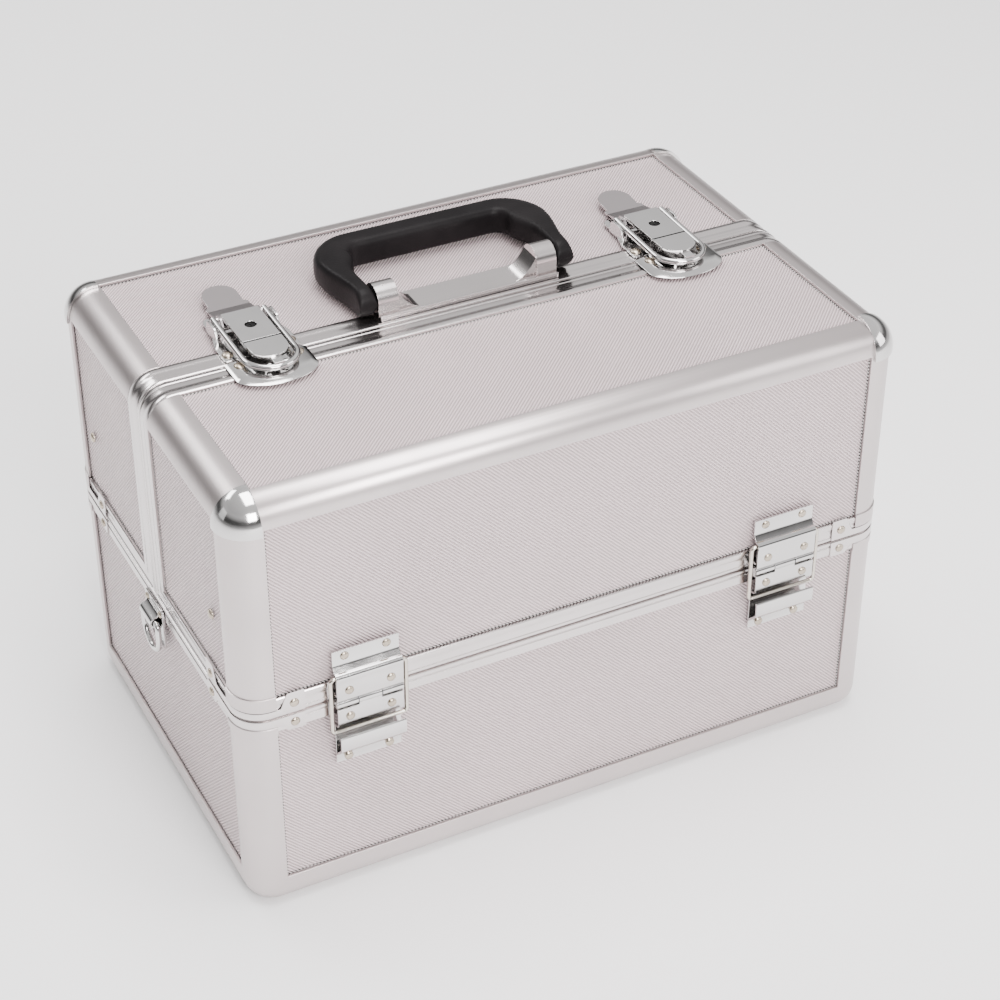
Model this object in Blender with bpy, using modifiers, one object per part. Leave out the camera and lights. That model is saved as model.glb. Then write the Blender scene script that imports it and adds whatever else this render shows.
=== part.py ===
"""Makeup train case: a rounded aluminium case whose two half lids turn outwards on stop hinges.

Four cantilever trays on parallel arms swing out with the lids. Metres, +Z up, the front faces -Y,
and the origin is at the middle of the bottom. Closed is the rest position.
"""

import math

import bmesh
import bpy
from mathutils import Matrix, Vector

# Case
LENGTH = 0.365
WIDTH = 0.236
HEIGHT = 0.246
CORNER_R = 0.0154
BOTTOM_R = 0.0114
GAP = 0.0003
HALF_L = LENGTH / 2
HALF_W = WIDTH / 2

# Walls: a thin extruded frame outside, then the panels
FRAME_T = 0.0015
PANEL_INSET = FRAME_T + GAP
WALL_T = 0.005
POST_W = 0.018
TOP_EDGE_W = 0.0145
CAP_OUT = 0.0018
CAP_T = 0.0013

# Rim bands where the shells meet
SPLIT_Z = 0.122
BASE_RIM_H = 0.0085
LID_RIM_H = 0.0108
CENTRE_RIM_W = 0.0135
RIM_GAP = 0.0004

# Lid hinges
HINGE_X = 0.118
HINGE_W = 0.035
AXIS_OUT = 0.0035
LEAF_T = 0.0012
KNUCKLE_R = 0.0026
RIDGE_UP = 0.0155
BAIL_R = 0.0011
BAIL_W = 0.0418
BAIL_LEN = 0.0330
CHANNEL_DEPTH = 0.0058

# Trays
TRAY_LEN = 0.339
TRAY_WALL = 0.0024
UPPER_TRAY = {"near": 0.010, "far": 0.1045, "low": 0.178, "high": 0.2165}
LOWER_TRAY = {"near": 0.010, "far": 0.0985, "low": 0.1345, "high": 0.1745}
COMPARTMENTS = 4

# Tray arms, in the plane of the end walls
ARM_T = 0.002
ARM_W = 0.012
ARM_IN = 0.0100
ARM_TILT = math.radians(37.5)
LOWER_REACH = 0.046
UPPER_REACH = 0.108
PIVOT_Z = 0.126
LONG_PIVOT_Y = 0.084
SHORT_PIVOT_Y = 0.056
LINK_SPACING = 0.0320
PIN_R = 0.0021
PIN_CLEARANCE = 0.0004

# Handle
HANDLE_PIVOT_Y = 0.0135
HANDLE_PIVOT_Z = HEIGHT + 0.0088
EAR_IN = 0.039
EAR_OUT = 0.0505
GRIP_HALF = 0.066
GRIP_FAR_Y = 0.072
GRIP_T = 0.0160
GRIP_BAR = 0.0150

# Draw latches
LATCH_X = 0.115
LATCH_AXIS_Y = 0.028
LATCH_AXIS_Z = HEIGHT + 0.0034
HASP_AXIS_Y = 0.032
HASP_AXIS_Z = HEIGHT + 0.0066
HASP_ROD_R = 0.0011
LOOP_R = 0.0017
LOOP_HALF = 0.0137
LOOP_FRONT_Y = -0.0207

# Carrying rings
RING_Y = 0.0
RING_AXIS_Z = 0.1105
RING_WIRE_R = 0.0016
RING_HALF = 0.0110
RING_DROP = 0.0200

# Base padding
LINER_T = 0.007
LINER_TOP = 0.112
RAIL_IN = 0.0071

SEGMENTS = 4


def clear_scene():
    for obj in list(bpy.data.objects):
        bpy.data.objects.remove(obj, do_unlink=True)


def new_collection(name):
    collection = bpy.data.collections.new(name)
    bpy.context.scene.collection.children.link(collection)
    return collection


def new_material(name, colour, roughness, metallic):
    material = bpy.data.materials.new(name)
    material.use_nodes = True
    shader = material.node_tree.nodes["Principled BSDF"]
    shader.inputs["Base Color"].default_value = (*colour, 1)
    shader.inputs["Roughness"].default_value = roughness
    shader.inputs["Metallic"].default_value = metallic
    return material


clear_scene()
PARTS = new_collection("makeup_train_case")
CUTTERS = new_collection("cutters")
ALUMINIUM = ("aluminium", (0.68, 0.65, 0.64), 0.32, 1.0)
CHROME = ("chrome", (0.80, 0.79, 0.78), 0.12, 1.0)
PANEL = ("panel_laminate", (0.62, 0.58, 0.57), 0.45, 0.6)
PLASTIC = ("black_plastic", (0.018, 0.018, 0.020), 0.45, 0.0)
GRIP_PLASTIC = ("grip_plastic", (0.040, 0.038, 0.038), 0.50, 0.0)
PADDING = ("padding", (0.022, 0.020, 0.018), 0.85, 0.0)


# Mesh building ---------------------------------------------------------------------------------


def new_object(name, bm, collection=None):
    mesh = bpy.data.meshes.new(name)
    bm.to_mesh(mesh)
    bm.free()
    obj = bpy.data.objects.new(name, mesh)
    (collection or PARTS).objects.link(obj)
    return obj


def box_bmesh(x, y, z):
    lo = Vector((min(x), min(y), min(z)))
    hi = Vector((max(x), max(y), max(z)))
    bm = bmesh.new()
    size = Matrix.Diagonal((*(hi - lo), 1))
    bmesh.ops.create_cube(bm, size=1, matrix=Matrix.Translation((lo + hi) / 2) @ size)
    return bm


def edges_along(bm, wanted):
    """The cube edges in the wanted groups: vertical, top or bottom."""
    found = []
    middle = sum((v.co.z for v in bm.verts)) / len(bm.verts)
    for edge in bm.edges:
        upright = abs(edge.verts[0].co.z - edge.verts[1].co.z) > 1e-6
        high = edge.verts[0].co.z > middle
        kind = "vertical" if upright else ("top" if high else "bottom")
        if kind in wanted:
            found.append(edge)
    return found


def round_edges(bm, wanted, radius, segments=SEGMENTS):
    bmesh.ops.bevel(
        bm,
        geom=edges_along(bm, wanted),
        offset=radius,
        segments=segments,
        profile=0.5,
        affect="EDGES",
        clamp_overlap=False,
    )


def cylinder_bmesh(centre, radius, span, axis="X", sides=16):
    """A cylinder from span[0] to span[1] along an axis; centre gives the other two coordinates."""
    bm = bmesh.new()
    bmesh.ops.create_cone(
        bm, cap_ends=True, segments=sides, radius1=radius, radius2=radius, depth=abs(span[1] - span[0])
    )
    middle = (span[0] + span[1]) / 2
    if axis == "X":
        turn = Matrix.Rotation(math.pi / 2, 4, "Y")
        place = Vector((middle, centre[0], centre[1]))
    elif axis == "Y":
        turn = Matrix.Rotation(math.pi / 2, 4, "X")
        place = Vector((centre[0], middle, centre[1]))
    else:
        turn = Matrix.Identity(4)
        place = Vector((centre[0], centre[1], middle))
    bmesh.ops.transform(bm, matrix=Matrix.Translation(place) @ turn, verts=bm.verts)
    return bm


def tool(name, bm):
    """A cutter or an added shape: it is used by a modifier and is never a part of its own."""
    obj = new_object(name, bm, CUTTERS)
    obj.hide_render = True
    obj.display_type = "WIRE"
    return obj


def combine(obj, bm, operation, label):
    modifier = obj.modifiers.new(label, "BOOLEAN")
    modifier.object = tool(f"{obj.name}_{label}", bm)
    modifier.operation = operation
    modifier.solver = "EXACT"
    return modifier


def cut(obj, bm, label="cut"):
    return combine(obj, bm, "DIFFERENCE", label)


def add(obj, bm, label="add"):
    return combine(obj, bm, "UNION", label)


def curve_object(name, points, radius, cyclic=False, resolution=2):
    """A round wire through the given points, turned into one closed mesh."""
    curve = bpy.data.curves.new(name, "CURVE")
    curve.dimensions = "3D"
    curve.bevel_depth = radius
    curve.bevel_resolution = resolution
    curve.use_fill_caps = True
    spline = curve.splines.new("POLY")
    spline.points.add(len(points) - 1)
    for point, place in zip(spline.points, points):
        point.co = (*place, 1)
    spline.use_cyclic_u = cyclic
    return mesh_from_curve(name, curve)


def plate_object(name, outline, thickness):
    """A flat outline in XY, extruded to both sides of z = 0."""
    curve = bpy.data.curves.new(name, "CURVE")
    curve.dimensions = "2D"
    curve.fill_mode = "BOTH"
    curve.extrude = thickness / 2
    spline = curve.splines.new("POLY")
    spline.points.add(len(outline) - 1)
    for point, place in zip(spline.points, outline):
        point.co = (place[0], place[1], 0, 1)
    spline.use_cyclic_u = True
    return mesh_from_curve(name, curve)


def mesh_from_curve(name, curve):
    source = bpy.data.objects.new(name + "_curve", curve)
    PARTS.objects.link(source)
    graph = bpy.context.evaluated_depsgraph_get()
    graph.update()
    mesh = bpy.data.meshes.new_from_object(source.evaluated_get(graph))
    bm = bmesh.new()
    bm.from_mesh(mesh)
    bmesh.ops.remove_doubles(bm, verts=bm.verts, dist=1e-6)
    bpy.data.objects.remove(source, do_unlink=True)
    bpy.data.curves.remove(curve)
    bpy.data.meshes.remove(mesh)
    return bm


def arc(centre, radius, start, end, steps):
    """Points of an arc, angles in degrees."""
    points = []
    for step in range(steps + 1):
        angle = math.radians(start + (end - start) * step / steps)
        points.append((centre[0] + radius * math.cos(angle), centre[1] + radius * math.sin(angle)))
    return points


def transformed(bm, matrix):
    bmesh.ops.transform(bm, matrix=matrix, verts=bm.verts)
    if matrix.determinant() < 0:
        bmesh.ops.reverse_faces(bm, faces=bm.faces)
    return bm


def finish(obj, look, pivot=None, smooth_angle=35):
    """Gives a part its material and its smoothing, and hangs it on its pivot empty."""
    obj.data.materials.append(new_material(f"{obj.name}_{look[0]}", *look[1:]))
    obj.data.shade_smooth()
    obj.data.set_sharp_from_angle(angle=math.radians(smooth_angle))
    if pivot:
        obj.data.transform(Matrix.Translation(-pivot.location))
        obj.parent = pivot
    return obj


def new_pivot(name, place):
    """An empty on a joint axis."""
    empty = bpy.data.objects.new(name, None)
    empty.location = place
    empty.empty_display_size = 0.02
    PARTS.objects.link(empty)
    return empty


# Case shells -------------------------------------------------------------------------------------


def case_solid(inset, bottom=None, top=None):
    """The rounded outer form of the closed case, inset by a wall thickness."""
    low = inset if bottom is None else bottom
    high = HEIGHT - inset if top is None else top
    bm = box_bmesh(
        (-HALF_L + inset, HALF_L - inset), (-HALF_W + inset, HALF_W - inset), (low, high)
    )
    radius = CORNER_R - inset
    if top is None:
        round_edges(bm, ("vertical", "top"), radius)
    else:
        round_edges(bm, ("vertical",), radius)
    if bottom is None:
        middle = (low + high) / 2
        loop = [
            e for e in bm.edges
            if all(v.co.z < low + 1e-6 for v in e.verts) and e.verts[0].co.z < middle
        ]
        bmesh.ops.bevel(
            bm, geom=loop, offset=BOTTOM_R - inset, segments=3, profile=0.5, affect="EDGES",
            clamp_overlap=False,
        )
    return bm


def far_box(side):
    """Everything on the other lid's side of the centre plane, out to the centre rim's width."""
    return (-side * WIDTH, side * (CENTRE_RIM_W + RIM_GAP / 2))


BASE_TOP = SPLIT_Z - RIM_GAP
BASE_WALL_TOP = BASE_TOP - BASE_RIM_H - GAP
LID_BOTTOM = SPLIT_Z + RIM_GAP
LID_WALL_BOTTOM = LID_BOTTOM + LID_RIM_H + GAP


def base_shell():
    obj = new_object("base_shell", case_solid(PANEL_INSET, top=BASE_WALL_TOP))
    cut(obj, case_solid(WALL_T, bottom=WALL_T, top=HEIGHT), "hollow")
    floor = box_bmesh(
        (-HALF_L + POST_W + GAP, HALF_L - POST_W - GAP),
        (-HALF_W + POST_W + GAP, HALF_W - POST_W - GAP),
        (0, WALL_T / 2),
    )
    add(obj, floor, "floor")
    return finish(obj, PANEL)


def base_frame():
    obj = new_object("base_frame", case_solid(0, top=BASE_WALL_TOP))
    cut(obj, case_solid(FRAME_T, top=HEIGHT), "hollow")
    span_x = (-HALF_L + POST_W, HALF_L - POST_W)
    span_y = (-HALF_W + POST_W, HALF_W - POST_W)
    cut(obj, box_bmesh(span_x, (-WIDTH, WIDTH), (POST_W, HEIGHT)), "long_windows")
    cut(obj, box_bmesh((-LENGTH, LENGTH), span_y, (POST_W, HEIGHT)), "end_windows")
    cut(obj, box_bmesh(span_x, span_y, (-POST_W, POST_W)), "floor_window")
    return finish(obj, ALUMINIUM)


def base_rim():
    obj = new_object("base_rim", case_solid(0, bottom=BASE_TOP - BASE_RIM_H, top=BASE_TOP))
    cut(obj, case_solid(WALL_T, bottom=0, top=HEIGHT), "hollow")
    return finish(obj, ALUMINIUM)


def lid_shell(side, word, pivot):
    obj = new_object(f"{word}_lid_shell", case_solid(PANEL_INSET, bottom=LID_WALL_BOTTOM))
    cut(obj, case_solid(WALL_T, bottom=0), "hollow")
    cut(obj, box_bmesh((-LENGTH, LENGTH), far_box(side), (0, 2 * HEIGHT)), "split")
    return finish(obj, PANEL, pivot)


def lid_frame(side, word, pivot):
    obj = new_object(f"{word}_lid_frame", case_solid(0, bottom=LID_WALL_BOTTOM))
    cut(obj, case_solid(FRAME_T, bottom=0), "hollow")
    cut(obj, box_bmesh((-LENGTH, LENGTH), far_box(side), (0, 2 * HEIGHT)), "split")
    span_x = (-HALF_L + POST_W, HALF_L - POST_W)
    below_edge = (0, HEIGHT - TOP_EDGE_W)
    cut(obj, box_bmesh(span_x, (0, side * WIDTH), below_edge), "long_window")
    inner_y = (0, side * (HALF_W - TOP_EDGE_W))
    cut(obj, box_bmesh(span_x, inner_y, (0, 2 * HEIGHT)), "top_window")
    cut(obj, box_bmesh((-LENGTH, LENGTH), (0, side * (HALF_W - POST_W)), below_edge), "end_windows")
    return finish(obj, ALUMINIUM, pivot)


def lid_rim(side, word, pivot):
    """The band round the lid's mouth: along the bottom, up both ends and over the top."""
    obj = new_object(f"{word}_lid_rim", case_solid(0, bottom=LID_BOTTOM))
    cut(obj, case_solid(WALL_T, bottom=0), "hollow")
    cut(obj, box_bmesh((-LENGTH, LENGTH), (-side * WIDTH, side * RIM_GAP / 2), (0, 2 * HEIGHT)), "split")
    away = (side * CENTRE_RIM_W, side * WIDTH)
    cut(obj, box_bmesh((-LENGTH, LENGTH), away, (LID_BOTTOM + LID_RIM_H, 2 * HEIGHT)), "walls")
    return finish(obj, ALUMINIUM, pivot)


def word_of(end):
    return "left" if end < 0 else "right"


def ball(end, side, radius):
    """A ball round the centre of a top corner's rounding."""
    bm = bmesh.new()
    bmesh.ops.create_uvsphere(bm, u_segments=20, v_segments=10, radius=radius)
    place = (end * (HALF_L - CORNER_R), side * (HALF_W - CORNER_R), HEIGHT - CORNER_R)
    return transformed(bm, Matrix.Translation(place))


def corner_cap(side, end, word, pivot):
    """A stamped ball corner: an eighth of a hollow ball over the corner of the frame."""
    obj = new_object(f"{word}_corner_cap_{word_of(end)}", ball(end, side, CORNER_R + CAP_OUT))
    cut(obj, ball(end, side, CORNER_R + CAP_OUT - CAP_T), "hollow")
    centre = Vector((end * (HALF_L - CORNER_R), side * (HALF_W - CORNER_R), HEIGHT - CORNER_R))
    reach = 2 * CORNER_R
    overlap = 0.0015
    outward = box_bmesh(
        (centre.x - end * overlap, centre.x + end * reach),
        (centre.y - side * overlap, centre.y + side * reach),
        (centre.z - overlap, centre.z + reach),
    )
    combine(obj, outward, "INTERSECT", "eighth")
    return finish(obj, CHROME, pivot)


# Hinges --------------------------------------------------------------------------------------------


def add_knuckle(obj, x, side, ends, upward, label):
    """A knuckle on the axis and the curl that joins it to its leaf."""
    axis_y = side * (HALF_W + AXIS_OUT)
    span = (x + ends[0], x + ends[1])
    curl = box_bmesh(span, (side * (HALF_W + GAP), axis_y), (SPLIT_Z, SPLIT_Z + upward * 0.0045))
    add(obj, curl, f"{label}_curl")
    add(obj, cylinder_bmesh((axis_y, SPLIT_Z), KNUCKLE_R, span, sides=14), label)


def lid_leaf(side, word, end, pivot):
    """The upper hinge leaf: a flange, a raised ridge that holds the bail, a flat and two knuckles."""
    x = end * HINGE_X
    face = side * (HALF_W + GAP)
    outer = side * (HALF_W + GAP + LEAF_T)
    half = HINGE_W / 2
    obj = new_object(
        f"{word}_hinge_lid_leaf_{word_of(end)}",
        box_bmesh((x - half, x + half), (face, outer), (SPLIT_Z + 0.0034, SPLIT_Z + 0.0300)),
    )
    ridge_z = SPLIT_Z + RIDGE_UP
    bail_y = side * (HALF_W + AXIS_OUT)
    ridge = box_bmesh(
        (x - half, x + half), (face, bail_y + side * 0.0028), (ridge_z - 0.0036, ridge_z + 0.0036)
    )
    add(obj, ridge, "ridge")
    bore = cylinder_bmesh((bail_y, ridge_z), BAIL_R + 0.0004, (x - half - 0.01, x + half + 0.01), sides=12)
    cut(obj, bore, "bail_bore")
    inner = half * 0.36
    add_knuckle(obj, x, side, (-half, -inner - GAP / 2), 1, "knuckle_left")
    add_knuckle(obj, x, side, (inner + GAP / 2, half), 1, "knuckle_right")
    return finish(obj, CHROME, pivot)


def base_leaf(side, word, end):
    """The lower hinge leaf: a flat, one knuckle and a raised pocket that the bail slides into."""
    x = end * HINGE_X
    face = side * (HALF_W + GAP)
    outer = side * (HALF_W + GAP + LEAF_T)
    half = HINGE_W / 2
    obj = new_object(
        f"{word}_hinge_base_leaf_{word_of(end)}",
        box_bmesh((x - half, x + half), (face, outer), (SPLIT_Z - 0.0390, SPLIT_Z - 0.0034)),
    )
    pocket_out = side * (HALF_W + GAP + LEAF_T + CHANNEL_DEPTH)
    shell_out = pocket_out + side * 0.0010
    top = SPLIT_Z - 0.0188
    low = SPLIT_Z - 0.0308
    raised = box_bmesh((x - half, x + half), (face, shell_out), (low - 0.0012, top))
    add(obj, raised, "raised")
    pocket = box_bmesh((x - half - 0.01, x + half + 0.01), (outer, pocket_out), (low, top + 0.01))
    cut(obj, pocket, "pocket")
    inner = half * 0.36
    add_knuckle(obj, x, side, (-inner + GAP / 2, inner - GAP / 2), -1, "knuckle")
    return finish(obj, CHROME)


def bail(side, word, end, pivot):
    """The wire stay: a rectangle that turns in the ridge and slides in the channel."""
    x = end * HINGE_X
    y = side * (HALF_W + AXIS_OUT)
    top = SPLIT_Z + RIDGE_UP
    low = top - BAIL_LEN
    half = BAIL_W / 2 - BAIL_R
    corner = 0.0016
    path = []
    for cx, cz, start in (
        (x + half - corner, top - corner, 0),
        (x - half + corner, top - corner, 90),
        (x - half + corner, low + corner, 180),
        (x + half - corner, low + corner, 270),
    ):
        for px, pz in arc((cx, cz), corner, start, start + 90, 3):
            path.append((px, y, pz))
    obj = new_object(
        f"{word}_hinge_bail_{word_of(end)}",
        curve_object("bail", path, BAIL_R, cyclic=True),
    )
    return finish(obj, CHROME, pivot)


# Trays and arms ------------------------------------------------------------------------------------


def arm_vector(side, length):
    """From an arm's lower pivot to a point a length along it, in the closed case."""
    return Vector((0, -side * math.sin(ARM_TILT) * length, math.cos(ARM_TILT) * length))


def base_pivot(side, distance):
    return Vector((0, side * distance, PIVOT_Z))


def pivot_places(side):
    """Where each arm turns, on the base, the lower tray and the upper tray, in the closed case."""
    long_base = base_pivot(side, LONG_PIVOT_Y)
    short_base = base_pivot(side, SHORT_PIVOT_Y)
    long_lower = long_base + arm_vector(side, LOWER_REACH)
    link_lower = long_lower + Vector((0, side * LINK_SPACING, 0))
    return {
        "long_base": long_base,
        "long_lower": long_lower,
        "long_upper": long_base + arm_vector(side, UPPER_REACH),
        "short_base": short_base,
        "short_lower": short_base + arm_vector(side, LOWER_REACH),
        "link_lower": link_lower,
        "link_upper": link_lower + arm_vector(side, UPPER_REACH - LOWER_REACH),
    }


def tray(side, name, size, pins, pivot):
    """A moulded tray with fixed dividers, and a hole in each end wall for each pin."""
    half = TRAY_LEN / 2
    near, far = side * size["near"], side * size["far"]
    bm = box_bmesh((-half, half), (near, far), (size["low"], size["high"]))
    round_edges(bm, ("vertical",), 0.003, segments=2)
    obj = new_object(name, bm)
    pitch = (TRAY_LEN - TRAY_WALL) / COMPARTMENTS
    for index in range(COMPARTMENTS):
        start = -half + TRAY_WALL + index * pitch
        pocket = box_bmesh(
            (start, start + pitch - TRAY_WALL),
            (near + side * TRAY_WALL, far - side * TRAY_WALL),
            (size["low"] + TRAY_WALL, size["high"] + 0.01),
        )
        cut(obj, pocket, f"pocket_{index}")
    for number, pin in enumerate(pins):
        hole = cylinder_bmesh((pin.y, pin.z), PIN_R + PIN_CLEARANCE, (-HALF_L, HALF_L), sides=12)
        cut(obj, hole, f"pin_holes_{number}")
    return finish(obj, PLASTIC, pivot)


def arm(name, end, start, stop, pins, plain_pins, pivot):
    """A flat bar with round ends and a pin at each pivot; plain pins face the wall."""
    run = stop - start
    length = run.length
    half = ARM_W / 2
    outline = arc((0, 0), half, 90, 270, 8) + arc((length, 0), half, -90, 90, 8)
    bm = plate_object("arm", outline, ARM_T)
    inner = HALF_L - ARM_IN - ARM_T
    middle_x = end * (inner + ARM_T / 2)
    turn = Matrix((
        (0, 0, 1, middle_x),
        (run.y / length, -run.z / length, 0, start.y),
        (run.z / length, run.y / length, 0, start.z),
        (0, 0, 0, 1),
    ))
    obj = new_object(name, transformed(bm, turn))
    for number, pin in enumerate(pins):
        span = (end * (inner + ARM_T / 2), end * (inner - 0.0022))
        add(obj, cylinder_bmesh((pin.y, pin.z), PIN_R, span, sides=12), f"pin_{number}")
    for number, pin in enumerate(plain_pins):
        span = (end * (inner + ARM_T / 2), end * (HALF_L - RAIL_IN + 0.0014))
        add(obj, cylinder_bmesh((pin.y, pin.z), PIN_R, span, sides=12), f"base_pin_{number}")
    return finish(obj, ALUMINIUM, pivot)


def rail_plate(end):
    """The plate inside an end wall that carries the arms, raised at both sides for their pivots."""
    inner = HALF_L - RAIL_IN
    wide = 0.100
    half_low = 0.036
    shoulder = 0.006
    raised = PIVOT_Z + 0.008
    middle = SPLIT_Z + 0.001
    low = LINER_TOP - 0.018
    outline = [
        (-wide, low), (wide, low), (wide, raised - shoulder), (wide - shoulder, raised),
        (half_low + shoulder, raised), (half_low, middle), (-half_low, middle),
        (-half_low - shoulder, raised), (-wide + shoulder, raised), (-wide, raised - shoulder),
    ]
    thickness = 0.0016
    bm = plate_object("rail", outline, thickness)
    stand = Matrix((
        (0, 0, 1, end * (inner + thickness / 2)),
        (1, 0, 0, 0),
        (0, 1, 0, 0),
        (0, 0, 0, 1),
    ))
    obj = new_object(f"arm_rail_{word_of(end)}", transformed(bm, stand))
    spacer = box_bmesh(
        (end * (inner + thickness / 2), end * (HALF_L - WALL_T - GAP)), (-wide, wide), (low, LINER_TOP)
    )
    add(obj, spacer, "spacer")
    for side in (-1, 1):
        for name in ("long_base", "short_base"):
            place = pivot_places(side)[name]
            hole = cylinder_bmesh((place.y, place.z), PIN_R + PIN_CLEARANCE, (-LENGTH, LENGTH), sides=12)
            cut(obj, hole, f"{name}_{side + 1}")
    return finish(obj, ALUMINIUM)


def tray_set(side, word):
    """The two trays of one lid, with their long arms, short arms and upper links."""
    places = pivot_places(side)
    long_pivot = new_pivot(f"{word}_long_arm_axis", places["long_base"])
    short_pivot = new_pivot(f"{word}_short_arm_axis", places["short_base"])
    link_pivot = new_pivot(f"{word}_link_axis", places["link_lower"])
    lower_pivot = new_pivot(f"{word}_lower_tray_axis", places["long_lower"])
    upper_pivot = new_pivot(f"{word}_upper_tray_axis", places["long_upper"])
    lower_pins = [places["long_lower"], places["short_lower"], places["link_lower"]]
    upper_pins = [places["long_upper"], places["link_upper"]]
    tray(side, f"{word}_lower_tray", LOWER_TRAY, lower_pins, lower_pivot)
    tray(side, f"{word}_upper_tray", UPPER_TRAY, upper_pins, upper_pivot)
    for end in (-1, 1):
        hand = word_of(end)
        arm(
            f"{word}_long_arm_{hand}", end, places["long_base"], places["long_upper"],
            [places["long_lower"], places["long_upper"]], [places["long_base"]], long_pivot,
        )
        arm(
            f"{word}_short_arm_{hand}", end, places["short_base"], places["short_lower"],
            [places["short_lower"]], [places["short_base"]], short_pivot,
        )
        arm(
            f"{word}_upper_link_{hand}", end, places["link_lower"], places["link_upper"],
            [places["link_lower"], places["link_upper"]], [], link_pivot,
        )


# Handle --------------------------------------------------------------------------------------------


def handle_bracket(pivot):
    """The bracket on the rear lid: a strip with a half-round ear at each end."""
    low = HEIGHT + GAP
    obj = new_object(
        "handle_bracket", box_bmesh((-EAR_OUT, EAR_OUT), (0.003, 0.024), (low, low + 0.0016))
    )
    for end in (-1, 1):
        ear = box_bmesh(
            (end * EAR_IN, end * EAR_OUT),
            (HANDLE_PIVOT_Y - 0.0078, HANDLE_PIVOT_Y + 0.0078),
            (low, HANDLE_PIVOT_Z),
        )
        add(obj, ear, f"ear_{word_of(end)}")
        crown = cylinder_bmesh(
            (HANDLE_PIVOT_Y, HANDLE_PIVOT_Z), 0.0078, (end * EAR_IN, end * EAR_OUT), sides=20
        )
        add(obj, crown, f"crown_{word_of(end)}")
        hole = cylinder_bmesh(
            (HANDLE_PIVOT_Y, HANDLE_PIVOT_Z), 0.0030, (end * (EAR_IN - 0.01), end * (EAR_OUT + 0.01)),
            sides=12,
        )
        cut(obj, hole, f"bore_{word_of(end)}")
    return finish(obj, ALUMINIUM, pivot)


def handle_grip(pivot):
    """The folding grip: a flat D with rounded far corners, and a round foot and pin at each ear."""
    near = HANDLE_PIVOT_Y
    corner = 0.020
    foot_r = 0.0079
    inner_half = EAR_OUT + 0.0006
    far_in = GRIP_FAR_Y - GRIP_BAR
    foot_far = GRIP_HALF - 0.0055
    outer = [(GRIP_HALF - 0.0045, near)]
    outer += arc((GRIP_HALF - corner, GRIP_FAR_Y - corner - 0.001), corner, -8, 90, 7)
    foot = [(inner_half, near - 0.002), (foot_far, near - 0.002)]
    inner = [(inner_half - 0.0120, far_in), (inner_half - 0.0070, far_in - 0.004)]
    inner += [(inner_half, near + 0.014)]
    half_outline = inner + foot + outer
    outline = half_outline + [(-px, py) for px, py in reversed(half_outline)]
    bm = plate_object("grip", outline, GRIP_T)
    low = HEIGHT + 0.0007
    obj = new_object("handle_grip", transformed(bm, Matrix.Translation((0, 0, low + GRIP_T / 2))))
    soften = obj.modifiers.new("soften", "BEVEL")
    soften.width = 0.0028
    soften.segments = 2
    soften.limit_method = "ANGLE"
    soften.angle_limit = math.radians(50)
    for end in (-1, 1):
        around = (end * inner_half, end * foot_far)
        add(obj, cylinder_bmesh((near, HANDLE_PIVOT_Z), foot_r, around, sides=32), f"foot_{word_of(end)}")
        span = (end * (inner_half + 0.004), end * (EAR_IN + 0.002))
        pin = cylinder_bmesh((HANDLE_PIVOT_Y, HANDLE_PIVOT_Z), 0.0026, span, sides=12)
        add(obj, pin, f"pin_{word_of(end)}")
    return finish(obj, GRIP_PLASTIC, pivot)


# Latches --------------------------------------------------------------------------------------------


def latch_body(end, pivot):
    """The fixed plate of a draw latch, on the rear lid, with two ears for the lever."""
    x = end * LATCH_X
    low = HEIGHT + GAP
    outline = (
        [(-0.0200, 0.0012), (0.0200, 0.0012), (0.0200, 0.0160)]
        + [(0.0165, 0.0300), (0.0165, 0.0440), (0.0135, 0.0465)]
        + [(-0.0135, 0.0465), (-0.0165, 0.0440), (-0.0165, 0.0300), (-0.0200, 0.0160)]
    )
    bm = plate_object("latch_body", outline, 0.0010)
    obj = new_object(
        f"latch_body_{word_of(end)}", transformed(bm, Matrix.Translation((x, 0, low + 0.0005)))
    )
    for hand in (-1, 1):
        ear = box_bmesh(
            (x + hand * 0.0160, x + hand * 0.0172), (0.0190, 0.0340), (low, LATCH_AXIS_Z + 0.0042)
        )
        add(obj, ear, f"ear_{word_of(hand)}")
    return finish(obj, CHROME, pivot)


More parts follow.
